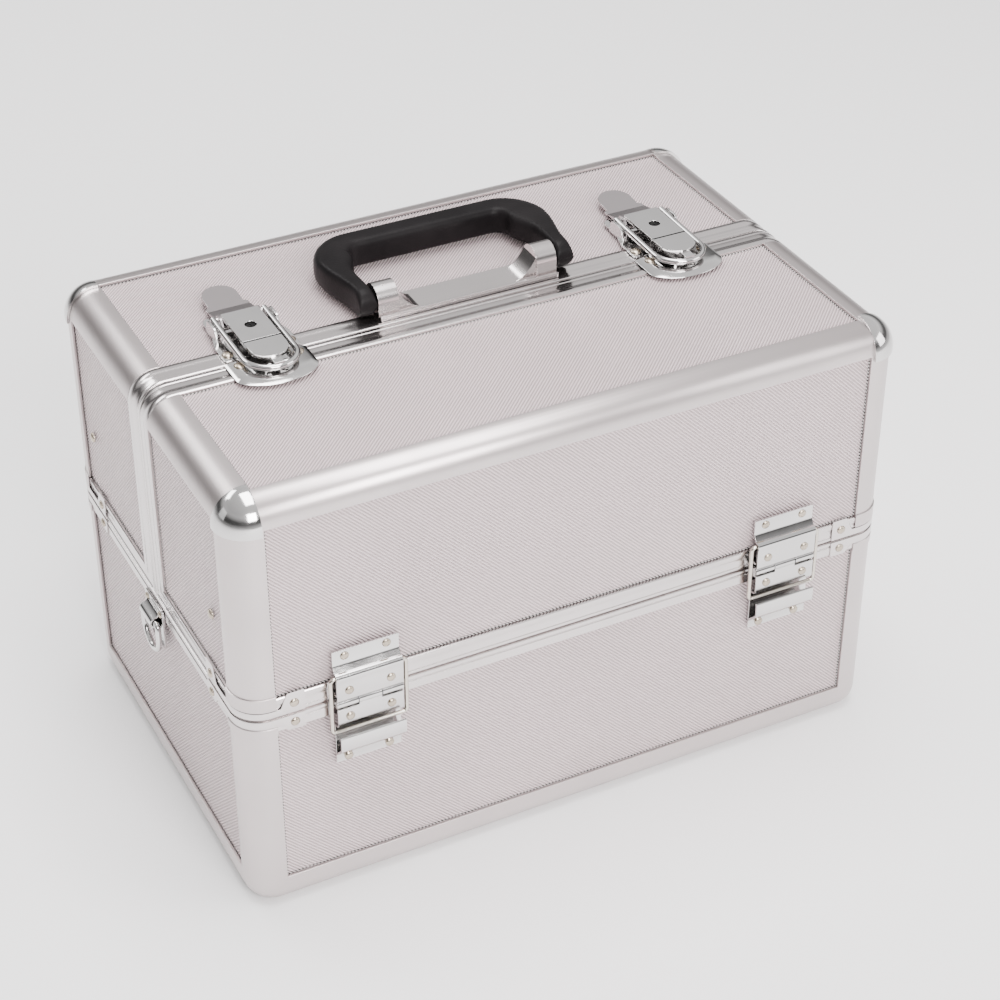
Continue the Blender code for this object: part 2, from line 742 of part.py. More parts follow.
def latch_lever(end, pivot):
    """The lifting lever: two cheeks on the axis, a sloping plate and a round finger tab."""
    x = end * LATCH_X
    base_z = HEIGHT + 0.0016
    half = 0.0115
    tab_y = 0.0490
    tab_r = 0.0100
    outline = [(-half, 0.0345), (half, 0.0345), (half, tab_y)]
    outline += [(half - 0.0015, tab_y)]
    outline += [(px, py + 0.0090) for px, py in arc((0, tab_y), tab_r, 0, 180, 10)]
    outline += [(-half + 0.0015, tab_y), (-half, tab_y)]
    bm = plate_object("lever", outline, 0.0014)
    obj = new_object(
        f"latch_lever_{word_of(end)}", transformed(bm, Matrix.Translation((x, 0, base_z + 0.0007)))
    )
    wedge = box_bmesh((x - half, x + half), (0.0345, 0.0470), (base_z, base_z + 0.0034))
    for vert in wedge.verts:
        if vert.co.z > base_z + 0.002 and vert.co.y > 0.040:
            vert.co.z = base_z + 0.0016
    add(obj, wedge, "slope")
    for hand in (-1, 1):
        cheek = box_bmesh(
            (x + hand * 0.0100, x + hand * 0.0113),
            (LATCH_AXIS_Y - 0.0014, 0.0360),
            (LATCH_AXIS_Z - 0.0014, HASP_AXIS_Z + 0.0018),
        )
        add(obj, cheek, f"cheek_{word_of(hand)}")
    rod_hole = cylinder_bmesh(
        (HASP_AXIS_Y, HASP_AXIS_Z), HASP_ROD_R + 0.0003, (x - 0.02, x + 0.02), sides=12
    )
    cut(obj, rod_hole, "rod_hole")
    pin = cylinder_bmesh((LATCH_AXIS_Y, LATCH_AXIS_Z), 0.0012, (x - 0.0157, x + 0.0157), sides=12)
    add(obj, pin, "pin")
    return finish(obj, CHROME, pivot)


def latch_hasp(end, pivot):
    """The loop that pulls on the keeper, with the lock plate inside it."""
    x = end * LATCH_X
    bend_y = LOOP_FRONT_Y + LOOP_HALF
    drop = 0.0012
    path = [(x + LOOP_HALF, HASP_AXIS_Y, HASP_AXIS_Z)]
    for px, py in arc((x, bend_y), LOOP_HALF, 0, -180, 12):
        path.append((px, py, HASP_AXIS_Z - drop))
    path.append((x - LOOP_HALF, HASP_AXIS_Y, HASP_AXIS_Z))
    obj = new_object(f"latch_hasp_{word_of(end)}", curve_object("loop", path, LOOP_R))
    low = HEIGHT + 0.0074
    half = 0.0095
    outline = [(half, HASP_AXIS_Y), (-half, HASP_AXIS_Y)]
    outline += arc((0, -0.0030), half, 180, 360, 12)
    plate = plate_object("lock_plate", outline, 0.0020)
    add(obj, transformed(plate, Matrix.Translation((x, 0, low + 0.0010))), "lock_plate")
    tongue = box_bmesh((x - 0.0026, x + 0.0026), (-0.0205, -0.0100), (low - 0.0012, low + 0.0012))
    add(obj, tongue, "tongue")
    rod = cylinder_bmesh(
        (HASP_AXIS_Y, HASP_AXIS_Z), HASP_ROD_R, (x - LOOP_HALF, x + LOOP_HALF), sides=12
    )
    add(obj, rod, "rod")
    return finish(obj, CHROME, pivot)


def latch_keeper(end, pivot):
    """The catch on the front lid: a dished plate with a skirt and an upright hook."""
    x = end * LATCH_X
    low = HEIGHT + GAP
    half = 0.0215
    outline = [(half, -0.0012), (-half, -0.0012)]
    outline += [(px, py * 0.42 - 0.0160) for px, py in arc((0, 0), half, 180, 360, 12)]
    bm = plate_object("keeper", outline, 0.0016)
    obj = new_object(
        f"latch_keeper_{word_of(end)}", transformed(bm, Matrix.Translation((x, 0, low + 0.0008)))
    )
    hook = box_bmesh((x - 0.0060, x + 0.0060), (-0.0150, -0.0174), (low, HEIGHT + 0.0058))
    add(obj, hook, "hook")
    return finish(obj, CHROME, pivot)


# Rings and padding -----------------------------------------------------------------------------------


def ring_clip(end):
    """The stamped tab on an end wall that holds a carrying ring."""
    face = end * (HALF_L + GAP)
    out = 0.0046
    obj = new_object(
        f"ring_clip_{word_of(end)}",
        box_bmesh(
            (face, face + end * 0.0014), (RING_Y - 0.0125, RING_Y + 0.0125),
            (RING_AXIS_Z - 0.0150, RING_AXIS_Z + 0.0090),
        ),
    )
    loop = box_bmesh(
        (face, face + end * (out + 0.0016)), (RING_Y - 0.0080, RING_Y + 0.0080),
        (RING_AXIS_Z - 0.0040, RING_AXIS_Z + 0.0040),
    )
    add(obj, loop, "loop")
    bore = cylinder_bmesh(
        (end * ring_axis_x(), RING_AXIS_Z), RING_WIRE_R + 0.0004, (RING_Y - 0.02, RING_Y + 0.02), "Y", 12
    )
    cut(obj, bore, "bore")
    return finish(obj, CHROME)


def ring_axis_x():
    return HALF_L + GAP + 0.0036


def d_ring(end, pivot):
    """A D-shaped wire ring that hangs in its clip."""
    x = end * ring_axis_x()
    path = [(x, RING_Y - RING_HALF, RING_AXIS_Z), (x, RING_Y + RING_HALF, RING_AXIS_Z)]
    bow_z = RING_AXIS_Z - (RING_DROP - RING_HALF)
    for py, pz in arc((RING_Y, bow_z), RING_HALF, 0, -180, 10):
        path.append((x, py, pz))
    obj = new_object(f"d_ring_{word_of(end)}", curve_object("ring", path, RING_WIRE_R, cyclic=True))
    return finish(obj, CHROME, pivot)


LINER_X = HALF_L - RAIL_IN - 0.0006
LINER_Y = HALF_W - WALL_T - GAP
DIVIDER_X = 0.055
DIVIDER_T = 0.010
DIVIDER_TOP = 0.095


def base_liner():
    """The padded lining of the base: floor and four walls."""
    low = WALL_T + GAP
    bm = box_bmesh((-LINER_X, LINER_X), (-LINER_Y, LINER_Y), (low, LINER_TOP))
    round_edges(bm, ("vertical",), CORNER_R - WALL_T, segments=3)
    round_edges_low(bm, low, BOTTOM_R - WALL_T)
    obj = new_object("base_liner", bm)
    pocket = box_bmesh(
        (-LINER_X + LINER_T, LINER_X - LINER_T), (-LINER_Y + LINER_T, LINER_Y - LINER_T),
        (low + LINER_T, HEIGHT),
    )
    cut(obj, pocket, "pocket")
    return finish(obj, PADDING)


def round_edges_low(bm, low, radius):
    loop = [e for e in bm.edges if all(v.co.z < low + 1e-6 for v in e.verts)]
    bmesh.ops.bevel(
        bm, geom=loop, offset=radius, segments=2, profile=0.5, affect="EDGES", clamp_overlap=False
    )


def base_dividers():
    """Two padded dividers: one across the base and one along its longer part."""
    low = WALL_T + GAP + LINER_T + GAP
    inner_y = LINER_Y - LINER_T - GAP
    inner_x = LINER_X - LINER_T - GAP
    cross = box_bmesh((DIVIDER_X, DIVIDER_X + DIVIDER_T), (-inner_y, inner_y), (low, DIVIDER_TOP))
    finish(new_object("base_divider_cross", cross), PADDING)
    along = box_bmesh((-inner_x, DIVIDER_X - GAP), (-DIVIDER_T / 2, DIVIDER_T / 2), (low, DIVIDER_TOP))
    finish(new_object("base_divider_long", along), PADDING)


# Assembly ---------------------------------------------------------------------------------------------


def build_base():
    base_shell()
    base_frame()
    base_rim()
    base_liner()
    base_dividers()
    for end in (-1, 1):
        rail_plate(end)
        ring_clip(end)
        ring_pivot = new_pivot(
            f"d_ring_axis_{word_of(end)}", Vector((end * ring_axis_x(), RING_Y, RING_AXIS_Z))
        )
        d_ring(end, ring_pivot)


def build_lid(side, word):
    """One half lid with its rim, frame, corners and hinges; returns its pivot."""
    axis = Vector((0, side * (HALF_W + AXIS_OUT), SPLIT_Z))
    pivot = new_pivot(f"{word}_lid_axis", axis)
    bail_pivot = new_pivot(f"{word}_bail_axis", axis + Vector((0, 0, RIDGE_UP)))
    lid_shell(side, word, pivot)
    lid_frame(side, word, pivot)
    lid_rim(side, word, pivot)
    for end in (-1, 1):
        corner_cap(side, end, word, pivot)
        lid_leaf(side, word, end, pivot)
        base_leaf(side, word, end)
        bail(side, word, end, bail_pivot)
    return pivot


def build_closures(front_pivot, rear_pivot):
    """The handle and both latches: keepers on the front lid, everything else on the rear lid."""
    grip_pivot = new_pivot("handle_axis", Vector((0, HANDLE_PIVOT_Y, HANDLE_PIVOT_Z)))
    handle_bracket(rear_pivot)
    handle_grip(grip_pivot)
    for end in (-1, 1):
        hand = word_of(end)
        x = end * LATCH_X
        lever_pivot = new_pivot(f"latch_axis_{hand}", Vector((x, LATCH_AXIS_Y, LATCH_AXIS_Z)))
        hasp_pivot = new_pivot(f"hasp_axis_{hand}", Vector((x, HASP_AXIS_Y, HASP_AXIS_Z)))
        latch_body(end, rear_pivot)
        latch_lever(end, lever_pivot)
        latch_hasp(end, hasp_pivot)
        latch_keeper(end, front_pivot)


build_base()
front = build_lid(-1, "front")
rear = build_lid(1, "rear")
tray_set(-1, "front")
tray_set(1, "rear")
build_closures(front, rear)
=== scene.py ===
"""The looks of the makeup train case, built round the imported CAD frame. Metres, front is -Y, +Z up."""

import math

import bmesh
import bpy
from mathutils import Matrix, Vector


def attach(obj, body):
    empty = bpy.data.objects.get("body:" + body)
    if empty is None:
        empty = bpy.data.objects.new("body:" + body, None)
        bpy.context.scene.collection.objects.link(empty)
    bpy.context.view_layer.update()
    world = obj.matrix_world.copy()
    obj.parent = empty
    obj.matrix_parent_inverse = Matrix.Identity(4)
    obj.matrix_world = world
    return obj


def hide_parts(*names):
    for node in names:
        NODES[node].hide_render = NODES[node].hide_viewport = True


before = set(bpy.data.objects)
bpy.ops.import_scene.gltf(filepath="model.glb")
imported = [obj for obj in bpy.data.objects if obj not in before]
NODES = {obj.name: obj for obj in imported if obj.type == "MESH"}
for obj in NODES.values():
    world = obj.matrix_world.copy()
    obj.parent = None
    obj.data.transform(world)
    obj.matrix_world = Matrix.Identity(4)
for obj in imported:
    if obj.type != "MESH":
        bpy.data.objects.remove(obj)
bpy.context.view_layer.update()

# Sizes, the same as the CAD's
HL, HW, H = 0.1825, 0.118, 0.246
CORNER_R, BOTTOM_R = 0.0154, 0.0114
SPLIT_Z, SPLIT_GAP, SEAM = 0.122, 0.0004, 0.0003
FRAME_T, WALL_T, POST_W, TOP_EDGE_W = 0.0015, 0.005, 0.018, 0.0145
BASE_RIM_H, LID_RIM_H, CENTRE_RIM_W = 0.0085, 0.0108, 0.0135
BASE_WALL_TOP = SPLIT_Z - SPLIT_GAP - BASE_RIM_H - SEAM
LID_WALL_BOTTOM = SPLIT_Z + SPLIT_GAP + LID_RIM_H + SEAM
HINGE_X, HINGE_W, AXIS_OUT = 0.118, 0.035, 0.0035
LATCH_X = 0.115
HANDLE_Y, HANDLE_Z = 0.0135, H + 0.0088
EAR_IN, EAR_OUT = 0.039, 0.0505
TRAY_HALF, TRAY_T = 0.1695, 0.0024
TRAYS = {"lower": (0.010, 0.0985, 0.1345, 0.1745), "upper": (0.010, 0.1045, 0.178, 0.2165)}
TILT = math.radians(37.5)
PIN_Z, LONG_Y, SHORT_Y, LINK_STEP = 0.126, 0.084, 0.056, 0.032
LOWER_REACH, LONG_REACH, LINK_REACH = 0.046, 0.108, 0.062
LINER_X, LINER_Y = 0.1748, 0.1127
LINER_LOW, LINER_T = 0.0053, 0.007
DIVIDER_X, DIVIDER_TOP = (0.055, 0.065), 0.095
ENDS = ((-1, "left"), (1, "right"))
SIDES = ((-1, "front"), (1, "rear"))

# Fine sizes that only the visible surface has
SEAT = 0.0003  # a fitting's lowest face above the panel it is riveted to
RIB_PITCH = 0.0040  # of the lids' ribbed lining
CHANNEL_PITCH, CHANNEL_DEPTH = 0.018, 0.0026  # of the quilted base lining
DIVIDER_PITCH = 0.022  # of the dividers' channels
EDGE_POWER = 2.7  # the long top edges' section: 2 is a quarter circle, more is squarer
SEAM_W, SEAM_PROUD, SEAM_DEPTH = 0.0009, 0.00012, 0.0018  # the beaded strip, below the frames' faces
TAB_T, TAB_W, TAB_SLOPE = 0.0006, 0.0130, 0.0045  # the corner plates' metal, tabs and their slopes
HASP_Z, EAR_TOP = H + 0.0074, 0.2536  # the lock plate's lower face, and the top of a latch's ears
ARM_IN, ARM_OUT, ARM_HALF, PIN_R = 0.1705, 0.1725, 0.006, 0.0021  # the tray arms' flat bars and pins
FLOOR_DROP = 0.0002  # keeps the studio floor clear of the case's underside


# Materials -----------------------------------------------------------------------------------------


class Look:
    """A Principled material with short calls for the nodes that give it its detail."""

    def __init__(self, name, colour, roughness, metallic=0.0, **sockets):
        self.material = bpy.data.materials.new(name)
        self.material.use_nodes = True
        self.tree = self.material.node_tree
        self.shader = self.tree.nodes["Principled BSDF"]
        self.set("Base Color", (*colour, 1))
        self.set("Roughness", roughness)
        self.set("Metallic", metallic)
        for socket, value in sockets.items():
            self.set(socket.replace("_", " "), value)
        self.last_normal = None

    def set(self, socket, value):
        self.shader.inputs[socket].default_value = value

    def node(self, kind, inputs=(), **props):
        made = self.tree.nodes.new(kind)
        for key, value in props.items():
            setattr(made, key, value)
        for key, value in dict(inputs).items():
            if isinstance(value, bpy.types.NodeSocket):
                self.tree.links.new(value, made.inputs[key])
            else:
                made.inputs[key].default_value = value
        return made

    def noise(self, scale, detail=3.0, roughness=0.5):
        inputs = {"Vector": self.place(), "Scale": scale, "Detail": detail, "Roughness": roughness}
        return self.node("ShaderNodeTexNoise", inputs).outputs["Fac"]

    def place(self):
        where = self.node("ShaderNodeTexCoord").outputs["Object"]
        return self.node("ShaderNodeMapping", {"Vector": where}).outputs["Vector"]

    def cells(self, scale):
        inputs = {"Vector": self.place(), "Scale": scale}
        return self.node("ShaderNodeTexVoronoi", inputs).outputs["Distance"]

    def wave(self, along, pitch):
        return self.math("SINE", self.math("MULTIPLY", along, 2 * math.pi / pitch))

    def math(self, operation, a, b=0.0):
        return self.node("ShaderNodeMath", {0: a, 1: b}, operation=operation).outputs[0]

    def spread(self, value, low, high, from_low=0.0, from_high=1.0):
        inputs = {"Value": value, "From Min": from_low, "From Max": from_high, "To Min": low, "To Max": high}
        return self.node("ShaderNodeMapRange", inputs).outputs["Result"]

    def blend(self, amount, first, second):
        made = self.node("ShaderNodeMix", {"Factor": amount}, data_type="RGBA")
        for key, value in (("A", first), ("B", second)):
            found = [s for s in made.inputs if s.name == key and s.type == "RGBA"][0]
            if isinstance(value, bpy.types.NodeSocket):
                self.tree.links.new(value, found)
            else:
                found.default_value = (*value, 1)
        return [s for s in made.outputs if s.type == "RGBA"][0]

    def colour(self, socket):
        self.tree.links.new(socket, self.shader.inputs["Base Color"])

    def rough(self, socket):
        self.tree.links.new(socket, self.shader.inputs["Roughness"])

    def bump(self, height, distance, strength=1.0):
        inputs = {"Height": height, "Distance": distance, "Strength": strength}
        if self.last_normal:
            inputs["Normal"] = self.last_normal
        self.last_normal = self.node("ShaderNodeBump", inputs).outputs["Normal"]
        self.tree.links.new(self.last_normal, self.shader.inputs["Normal"])

    def face_plane(self):
        """Two coordinates that run in the plane of whichever flat face a point is on."""
        coords = self.node("ShaderNodeTexCoord")
        at = self.node("ShaderNodeSeparateXYZ", {"Vector": coords.outputs["Object"]}).outputs
        facing = self.node("ShaderNodeSeparateXYZ", {"Vector": coords.outputs["Normal"]}).outputs
        end_on = self.math("GREATER_THAN", self.math("ABSOLUTE", facing["X"]), 0.6)
        level = self.math("GREATER_THAN", self.math("ABSOLUTE", facing["Z"]), 0.6)
        across = self.node("ShaderNodeMix", {0: end_on, 2: at["X"], 3: at["Y"]}).outputs[0]
        back = self.math("MULTIPLY", at["Y"], -1.0)
        along = self.node("ShaderNodeMix", {0: level, 2: at["Z"], 3: back}).outputs[0]
        return across, along


def panel_look():
    """Embossed laminate: fine slanting ribs broken into beads, with painted shade in their troughs and
    painted highlight on their crests.
    """
    look = Look("panel_laminate", (0.66, 0.56, 0.57), 0.42, 0.25)
    u, v = look.face_plane()
    rising = look.wave(look.math("ADD", u, v), 0.0021)
    falling = look.wave(look.math("SUBTRACT", u, v), 0.0015)
    beads = look.math("MULTIPLY", rising, look.spread(falling, 0.72, 1.0, -1.0, 0.6))
    look.bump(beads, 0.0004, 0.9)
    cloudy = look.spread(look.noise(14, 2), 0.0, 1.0, 0.3, 0.7)
    tone = look.blend(cloudy, (0.72, 0.588, 0.602), (0.65, 0.532, 0.544))
    # painted shade: the beads' troughs darkened towards near-black
    shaded_troughs = look.blend(look.spread(beads, 0.78, 0.0, -1.0, 0.0), tone, (0.30, 0.238, 0.243))
    # painted highlight: the beads' crests lightened towards pale pink
    look.colour(look.blend(look.spread(beads, 0.0, 0.45, 0.1, 1.0), shaded_troughs, (0.90, 0.81, 0.816)))
    look.rough(look.spread(look.noise(60, 3), 0.36, 0.50))
    return look.material


def metal_look(name, tint, low, high):
    """Brushed or polished aluminium and steel, with the roughness drifting from low to high."""
    look = Look(name, tint, 0.25, 1.0)
    grain = look.noise(2400, 2, 0.5)
    wide = look.noise(18, 2)
    look.rough(look.spread(wide, low, high, 0.3, 0.7))
    darker = tuple(c * 0.92 for c in tint)
    look.colour(look.blend(look.spread(wide, 0.0, 0.8, 0.4, 0.7), tint, darker))
    look.bump(grain, 0.000006, 0.3)
    return look.material


def chrome_look():
    look = Look("chrome", (0.66, 0.65, 0.645), 0.10, 1.0)
    look.rough(look.spread(look.noise(70, 4, 0.6), 0.06, 0.20, 0.3, 0.75))
    smudges = look.spread(look.noise(30, 2), 0, 0.7)
    look.colour(look.blend(smudges, (0.70, 0.69, 0.685), (0.50, 0.49, 0.485)))
    look.bump(look.noise(400, 2), 0.00002, 0.3)
    return look.material


def nickel_look():
    look = Look("rivet_nickel", (0.66, 0.60, 0.51), 0.24, 1.0)
    look.rough(look.spread(look.noise(300, 3), 0.18, 0.36))
    look.colour(look.blend(look.noise(120, 2), (0.56, 0.49, 0.40), (0.34, 0.29, 0.23)))
    look.bump(look.noise(900, 2), 0.00003, 0.5)
    return look.material


def tray_look():
    base = (0.0065, 0.0065, 0.0075)
    look = Look("tray_plastic", base, 0.42, 0.0, Specular_IOR_Level=0.26)
    fine = look.noise(1400, 2, 0.5)
    wide = look.noise(45, 3)
    look.rough(look.spread(wide, 0.36, 0.52))
    paler = tuple(c * 1.7 for c in base)
    look.colour(look.blend(look.spread(wide, 0.0, 0.7, 0.45, 0.8), base, paler))
    look.bump(fine, 0.00006, 0.6)
    return look.material


def grip_look():
    look = Look("grip_plastic", (0.006, 0.0052, 0.0056), 0.48, 0.0, Specular_IOR_Level=0.09)
    pebbles = look.cells(900)
    wide = look.noise(40, 3)
    look.rough(look.spread(wide, 0.36, 0.50))
    worn = look.spread(wide, 0, 0.8, 0.4, 0.8)
    look.colour(look.blend(worn, (0.005, 0.0043, 0.0047), (0.012, 0.0105, 0.011)))
    look.bump(pebbles, 0.00010, 0.5)
    return look.material


def fabric_look(name, first, second, pitch, sheen):
    look = Look(name, first, 0.88, 0.0, Sheen_Weight=sheen, Sheen_Roughness=0.5)
    u, v = look.face_plane()
    weave = look.math("MULTIPLY", look.wave(u, pitch), look.wave(v, pitch))
    fuzz = look.noise(700, 4, 0.7)
    wide = look.noise(25, 3)
    tone = look.blend(look.spread(wide, 0, 1, 0.3, 0.7), first, second)
    lifted = tuple(min(1.0, c * 1.5 + 0.008) for c in second)
    look.colour(look.blend(look.spread(fuzz, 0.0, 0.5, 0.45, 0.8), tone, lifted))
    look.rough(look.spread(fuzz, 0.78, 0.96))
    look.bump(weave, 0.00015, 0.6)
    look.bump(fuzz, 0.00020, 0.4)
    return look.material


def stripe_look():
    """The lids' lining: a ribbed cloth whose ribs carry rows of paler stitches."""
    look = Look("lid_lining_cloth", (0.08, 0.07, 0.06), 0.85, 0.0, Sheen_Weight=0.25)
    u, v = look.face_plane()
    stripe = look.wave(u, RIB_PITCH)
    dashes = look.wave(v, 0.0036)
    stripe = look.spread(stripe, 0.0, 1.0, -0.2, 0.8)
    shown = look.math("MULTIPLY", stripe, look.spread(dashes, 0.25, 1.0, -0.6, 0.3))
    fuzz = look.noise(900, 4, 0.7)
    dark = look.blend(fuzz, (0.030, 0.026, 0.022), (0.058, 0.050, 0.043))
    pale = look.blend(fuzz, (0.15, 0.135, 0.118), (0.24, 0.215, 0.19))
    look.colour(look.blend(shown, dark, pale))
    look.rough(look.spread(fuzz, 0.75, 0.95))
    look.bump(shown, 0.00020, 0.6)
    look.bump(fuzz, 0.00015, 0.5)
    return look.material


def seam_shadow_look():
    """Painted shadow along a frame's edge, broken into dots by the laminate's raised pattern."""
    look = Look("panel_seam_shadow", (0.02, 0.02, 0.02), 0.55)
    u, v = look.face_plane()
    beads = look.wave(look.math("ADD", u, v), 0.0019)
    fine = look.noise(1200, 2)
    dots = look.spread(beads, 0.0, 1.0, -0.15, 0.15)
    # painted shadow: near-black dots along the frame's edge; the paler gaps between them stand for the
    # laminate
    look.colour(look.blend(dots, (0.016, 0.015, 0.015), (0.55, 0.51, 0.505)))
    look.rough(look.spread(fine, 0.40, 0.60))
    look.bump(beads, 0.0002, 0.8)
    return look.material


# Near-black, used only as painted shade in the latch lock plate's keyhole and crease
def lock_shade_look():
    look = Look("painted_shade_near_black", (0.006, 0.006, 0.006), 0.6, 0.0, Specular_IOR_Level=0.1)
    look.rough(look.spread(look.noise(300, 3), 0.5, 0.75))
    look.bump(look.noise(900, 3), 0.00005, 0.5)
    return look.material


PANEL = panel_look()
ALUMINIUM = metal_look("aluminium", (0.585, 0.532, 0.528), 0.34, 0.38)
BRIGHT = metal_look("bright_aluminium", (0.66, 0.62, 0.615), 0.17, 0.22)
CHROME = chrome_look()
NICKEL = nickel_look()
TRAY = tray_look()
GRIP = grip_look()
LINER = fabric_look("liner_cloth", (0.030, 0.0255, 0.0215), (0.046, 0.039, 0.033), 0.0012, 0.2)
BOARD = fabric_look("inner_board", (0.008, 0.0075, 0.007), (0.014, 0.0125, 0.0115), 0.0009, 0.1)
STRIPES = stripe_look()
LOCK_SHADE = lock_shade_look()
SEAM_SHADOW_DOTS = seam_shadow_look()
SATIN = metal_look("satin_nickel", (0.46, 0.425, 0.43), 0.28, 0.34)
BAIL = metal_look("bail_nickel", (0.62, 0.575, 0.51), 0.14, 0.24)


# Mesh building ---------------------------------------------------------------------------------------


def piece(name, bm, material, body, stands_for=(), smooth=35, soften=0.0, steps=2, limit=40,
          even=False):
    """Makes a finished piece that rides on a body and stands for the named CAD nodes."""
    mesh = bpy.data.meshes.new(name)
    bmesh.ops.recalc_face_normals(bm, faces=bm.faces)
    bm.to_mesh(mesh)
    bm.free()
    mesh.materials.append(material)
    mesh.shade_smooth()
    if not soften:
        mesh.set_sharp_from_angle(angle=math.radians(smooth))
    obj = bpy.data.objects.new(name, mesh)
    bpy.context.scene.collection.objects.link(obj)
    if soften:
        bevel = obj.modifiers.new("soften", "BEVEL")
        bevel.width = soften
        bevel.segments = steps
        bevel.limit_method = "ANGLE"
        bevel.angle_limit = math.radians(limit)
        bevel.harden_normals = True
        bevel.use_clamp_overlap = True
    if even:
        weighted = obj.modifiers.new("even", "WEIGHTED_NORMAL")
        weighted.keep_sharp = True
        weighted.weight = 80
    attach(obj, body)
    if stands_for:
        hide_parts(*stands_for)
    return obj


def box(x, y, z):
    lo = Vector((min(x), min(y), min(z)))
    hi = Vector((max(x), max(y), max(z)))
    bm = bmesh.new()
    scale = Matrix.Diagonal((*(hi - lo), 1))
    bmesh.ops.create_cube(bm, size=1, matrix=Matrix.Translation((lo + hi) / 2) @ scale)
    return bm


def join(*parts):
    """One bmesh that holds all the given ones, not fused."""
    whole = bmesh.new()
    for part in parts:
        mesh = bpy.data.meshes.new("part")
        part.to_mesh(mesh)
        part.free()
        whole.from_mesh(mesh)
        bpy.data.meshes.remove(mesh)
    return whole


def combined(bm, steps):
    """Applies Boolean steps, each an operation and a bmesh, and gives the result."""
    made = []

    def temporary(source):
        mesh = bpy.data.meshes.new("temporary")
        bmesh.ops.recalc_face_normals(source, faces=source.faces)
        source.to_mesh(mesh)
        source.free()
        obj = bpy.data.objects.new("temporary", mesh)
        bpy.context.scene.collection.objects.link(obj)
        made.append(obj)
        return obj

    target = temporary(bm)
    for operation, other in steps:
        modifier = target.modifiers.new("step", "BOOLEAN")
        modifier.object = temporary(other)
        modifier.operation = operation
        modifier.solver = "EXACT"
    graph = bpy.context.evaluated_depsgraph_get()
    graph.update()
    result = bmesh.new()
    shaped = target.evaluated_get(graph)
    result.from_mesh(shaped.to_mesh())
    shaped.to_mesh_clear()
    for obj in made:
        mesh = obj.data
        bpy.data.objects.remove(obj, do_unlink=True)
        bpy.data.meshes.remove(mesh)
    bmesh.ops.remove_doubles(result, verts=result.verts, dist=1e-6)
    return result


def skin(bm, rings, closed=False, around=True):
    """Faces between neighbouring rings of vertices; around joins each ring's ends as well."""
    pairs = list(zip(rings, rings[1:])) + ([(rings[-1], rings[0])] if closed else [])
    for first, second in pairs:
        for j in range(len(first) if around else len(first) - 1):
            k = (j + 1) % len(first)
            bm.faces.new((first[j], first[k], second[k], second[j]))


def sweep(stations, profile, closed=False):
    """Carries a profile of (a, b) points along stations of (origin, a direction, b direction)."""
    bm = bmesh.new()
    rings = []
    for origin, a_way, b_way in stations:
        origin, a_way, b_way = Vector(origin), Vector(a_way), Vector(b_way)
        rings.append([bm.verts.new(origin + a_way * a + b_way * b) for a, b in profile])
    skin(bm, rings, closed)
    if not closed:
        bm.faces.new(rings[0])
        bm.faces.new(list(reversed(rings[-1])))
    return bm


def wire(points, radius, closed=False, sides=14):
    """A round bar through the points, with its frame carried along without twist."""
    points = [Vector(p) for p in points]
    count = len(points)
    stations = []
    normal = None
    for i, point in enumerate(points):
        before = points[i - 1] if (closed or i) else point
        after = points[(i + 1) % count] if (closed or i < count - 1) else point
        tangent = (after - before).normalized()
        if normal is None:
            helper = Vector((0, 0, 1)) if abs(tangent.z) < 0.9 else Vector((0, 1, 0))
            normal = tangent.cross(helper).normalized()
        normal = (normal - tangent * normal.dot(tangent)).normalized()
        stations.append((point, normal, tangent.cross(normal)))
    turns = [2 * math.pi * i / sides for i in range(sides)]
    return sweep(stations, [(radius * math.cos(a), radius * math.sin(a)) for a in turns], closed)


def lathe(centre, axis, profile, sides=24):
    """A turned shape: the profile gives (radius, distance along the axis)."""
    axis = Vector(axis).normalized()
    helper = Vector((0, 0, 1)) if abs(axis.z) < 0.9 else Vector((1, 0, 0))
    first = axis.cross(helper).normalized()
    second = axis.cross(first)
    bm = bmesh.new()
    rings = []
    for radius, along in profile:
        if radius < 1e-7:
            rings.append([bm.verts.new(Vector(centre) + axis * along)])
            continue
        ring = []
        for i in range(sides):
            angle = 2 * math.pi * i / sides
            way = first * math.cos(angle) + second * math.sin(angle)
            ring.append(bm.verts.new(Vector(centre) + axis * along + way * radius))
        rings.append(ring)
    for lower, upper in zip(rings, rings[1:]):
        for i in range(sides):
            k = (i + 1) % sides
            if len(lower) == 1:
                bm.faces.new((lower[0], upper[i], upper[k]))
            elif len(upper) == 1:
                bm.faces.new((lower[i], upper[0], lower[k]))
            else:
                bm.faces.new((lower[i], upper[i], upper[k], lower[k]))
    return bm


def rivet(centre, axis, radius, height):
    """A domed rivet head with a small flat rim."""
    profile = [(0, -0.0004), (radius, -0.0004), (radius, height * 0.25)]
    for step in range(1, 6):
        angle = math.pi / 2 * step / 5
        profile.append((radius * 0.94 * math.cos(angle), height * (0.25 + 0.75 * math.sin(angle))))
    profile[-1] = (0, height)
    return lathe(centre, axis, profile, 18)


def cylinder(centre, axis, radius, start, stop, sides=24):
    start, stop = sorted((start, stop))
    return lathe(centre, axis, [(0, start), (radius, start), (radius, stop), (0, stop)], sides)


def swept_x(profile, x0, x1):
    """A (y, z) profile carried along X."""
    return sweep([((x, 0, 0), (0, 1, 0), (0, 0, 1)) for x in sorted((x0, x1))], profile)


def arc(centre, radius, start, end, steps):
    points = []
    for step in range(steps + 1):
        angle = math.radians(start + (end - start) * step / steps)
        points.append((centre[0] + radius * math.cos(angle), centre[1] + radius * math.sin(angle)))
    return points


def plate(outline, low, high):
    """A flat outline in XY between two heights."""
    return sweep([((0, 0, low), (1, 0, 0), (0, 1, 0)), ((0, 0, high), (1, 0, 0), (0, 1, 0))], outline)


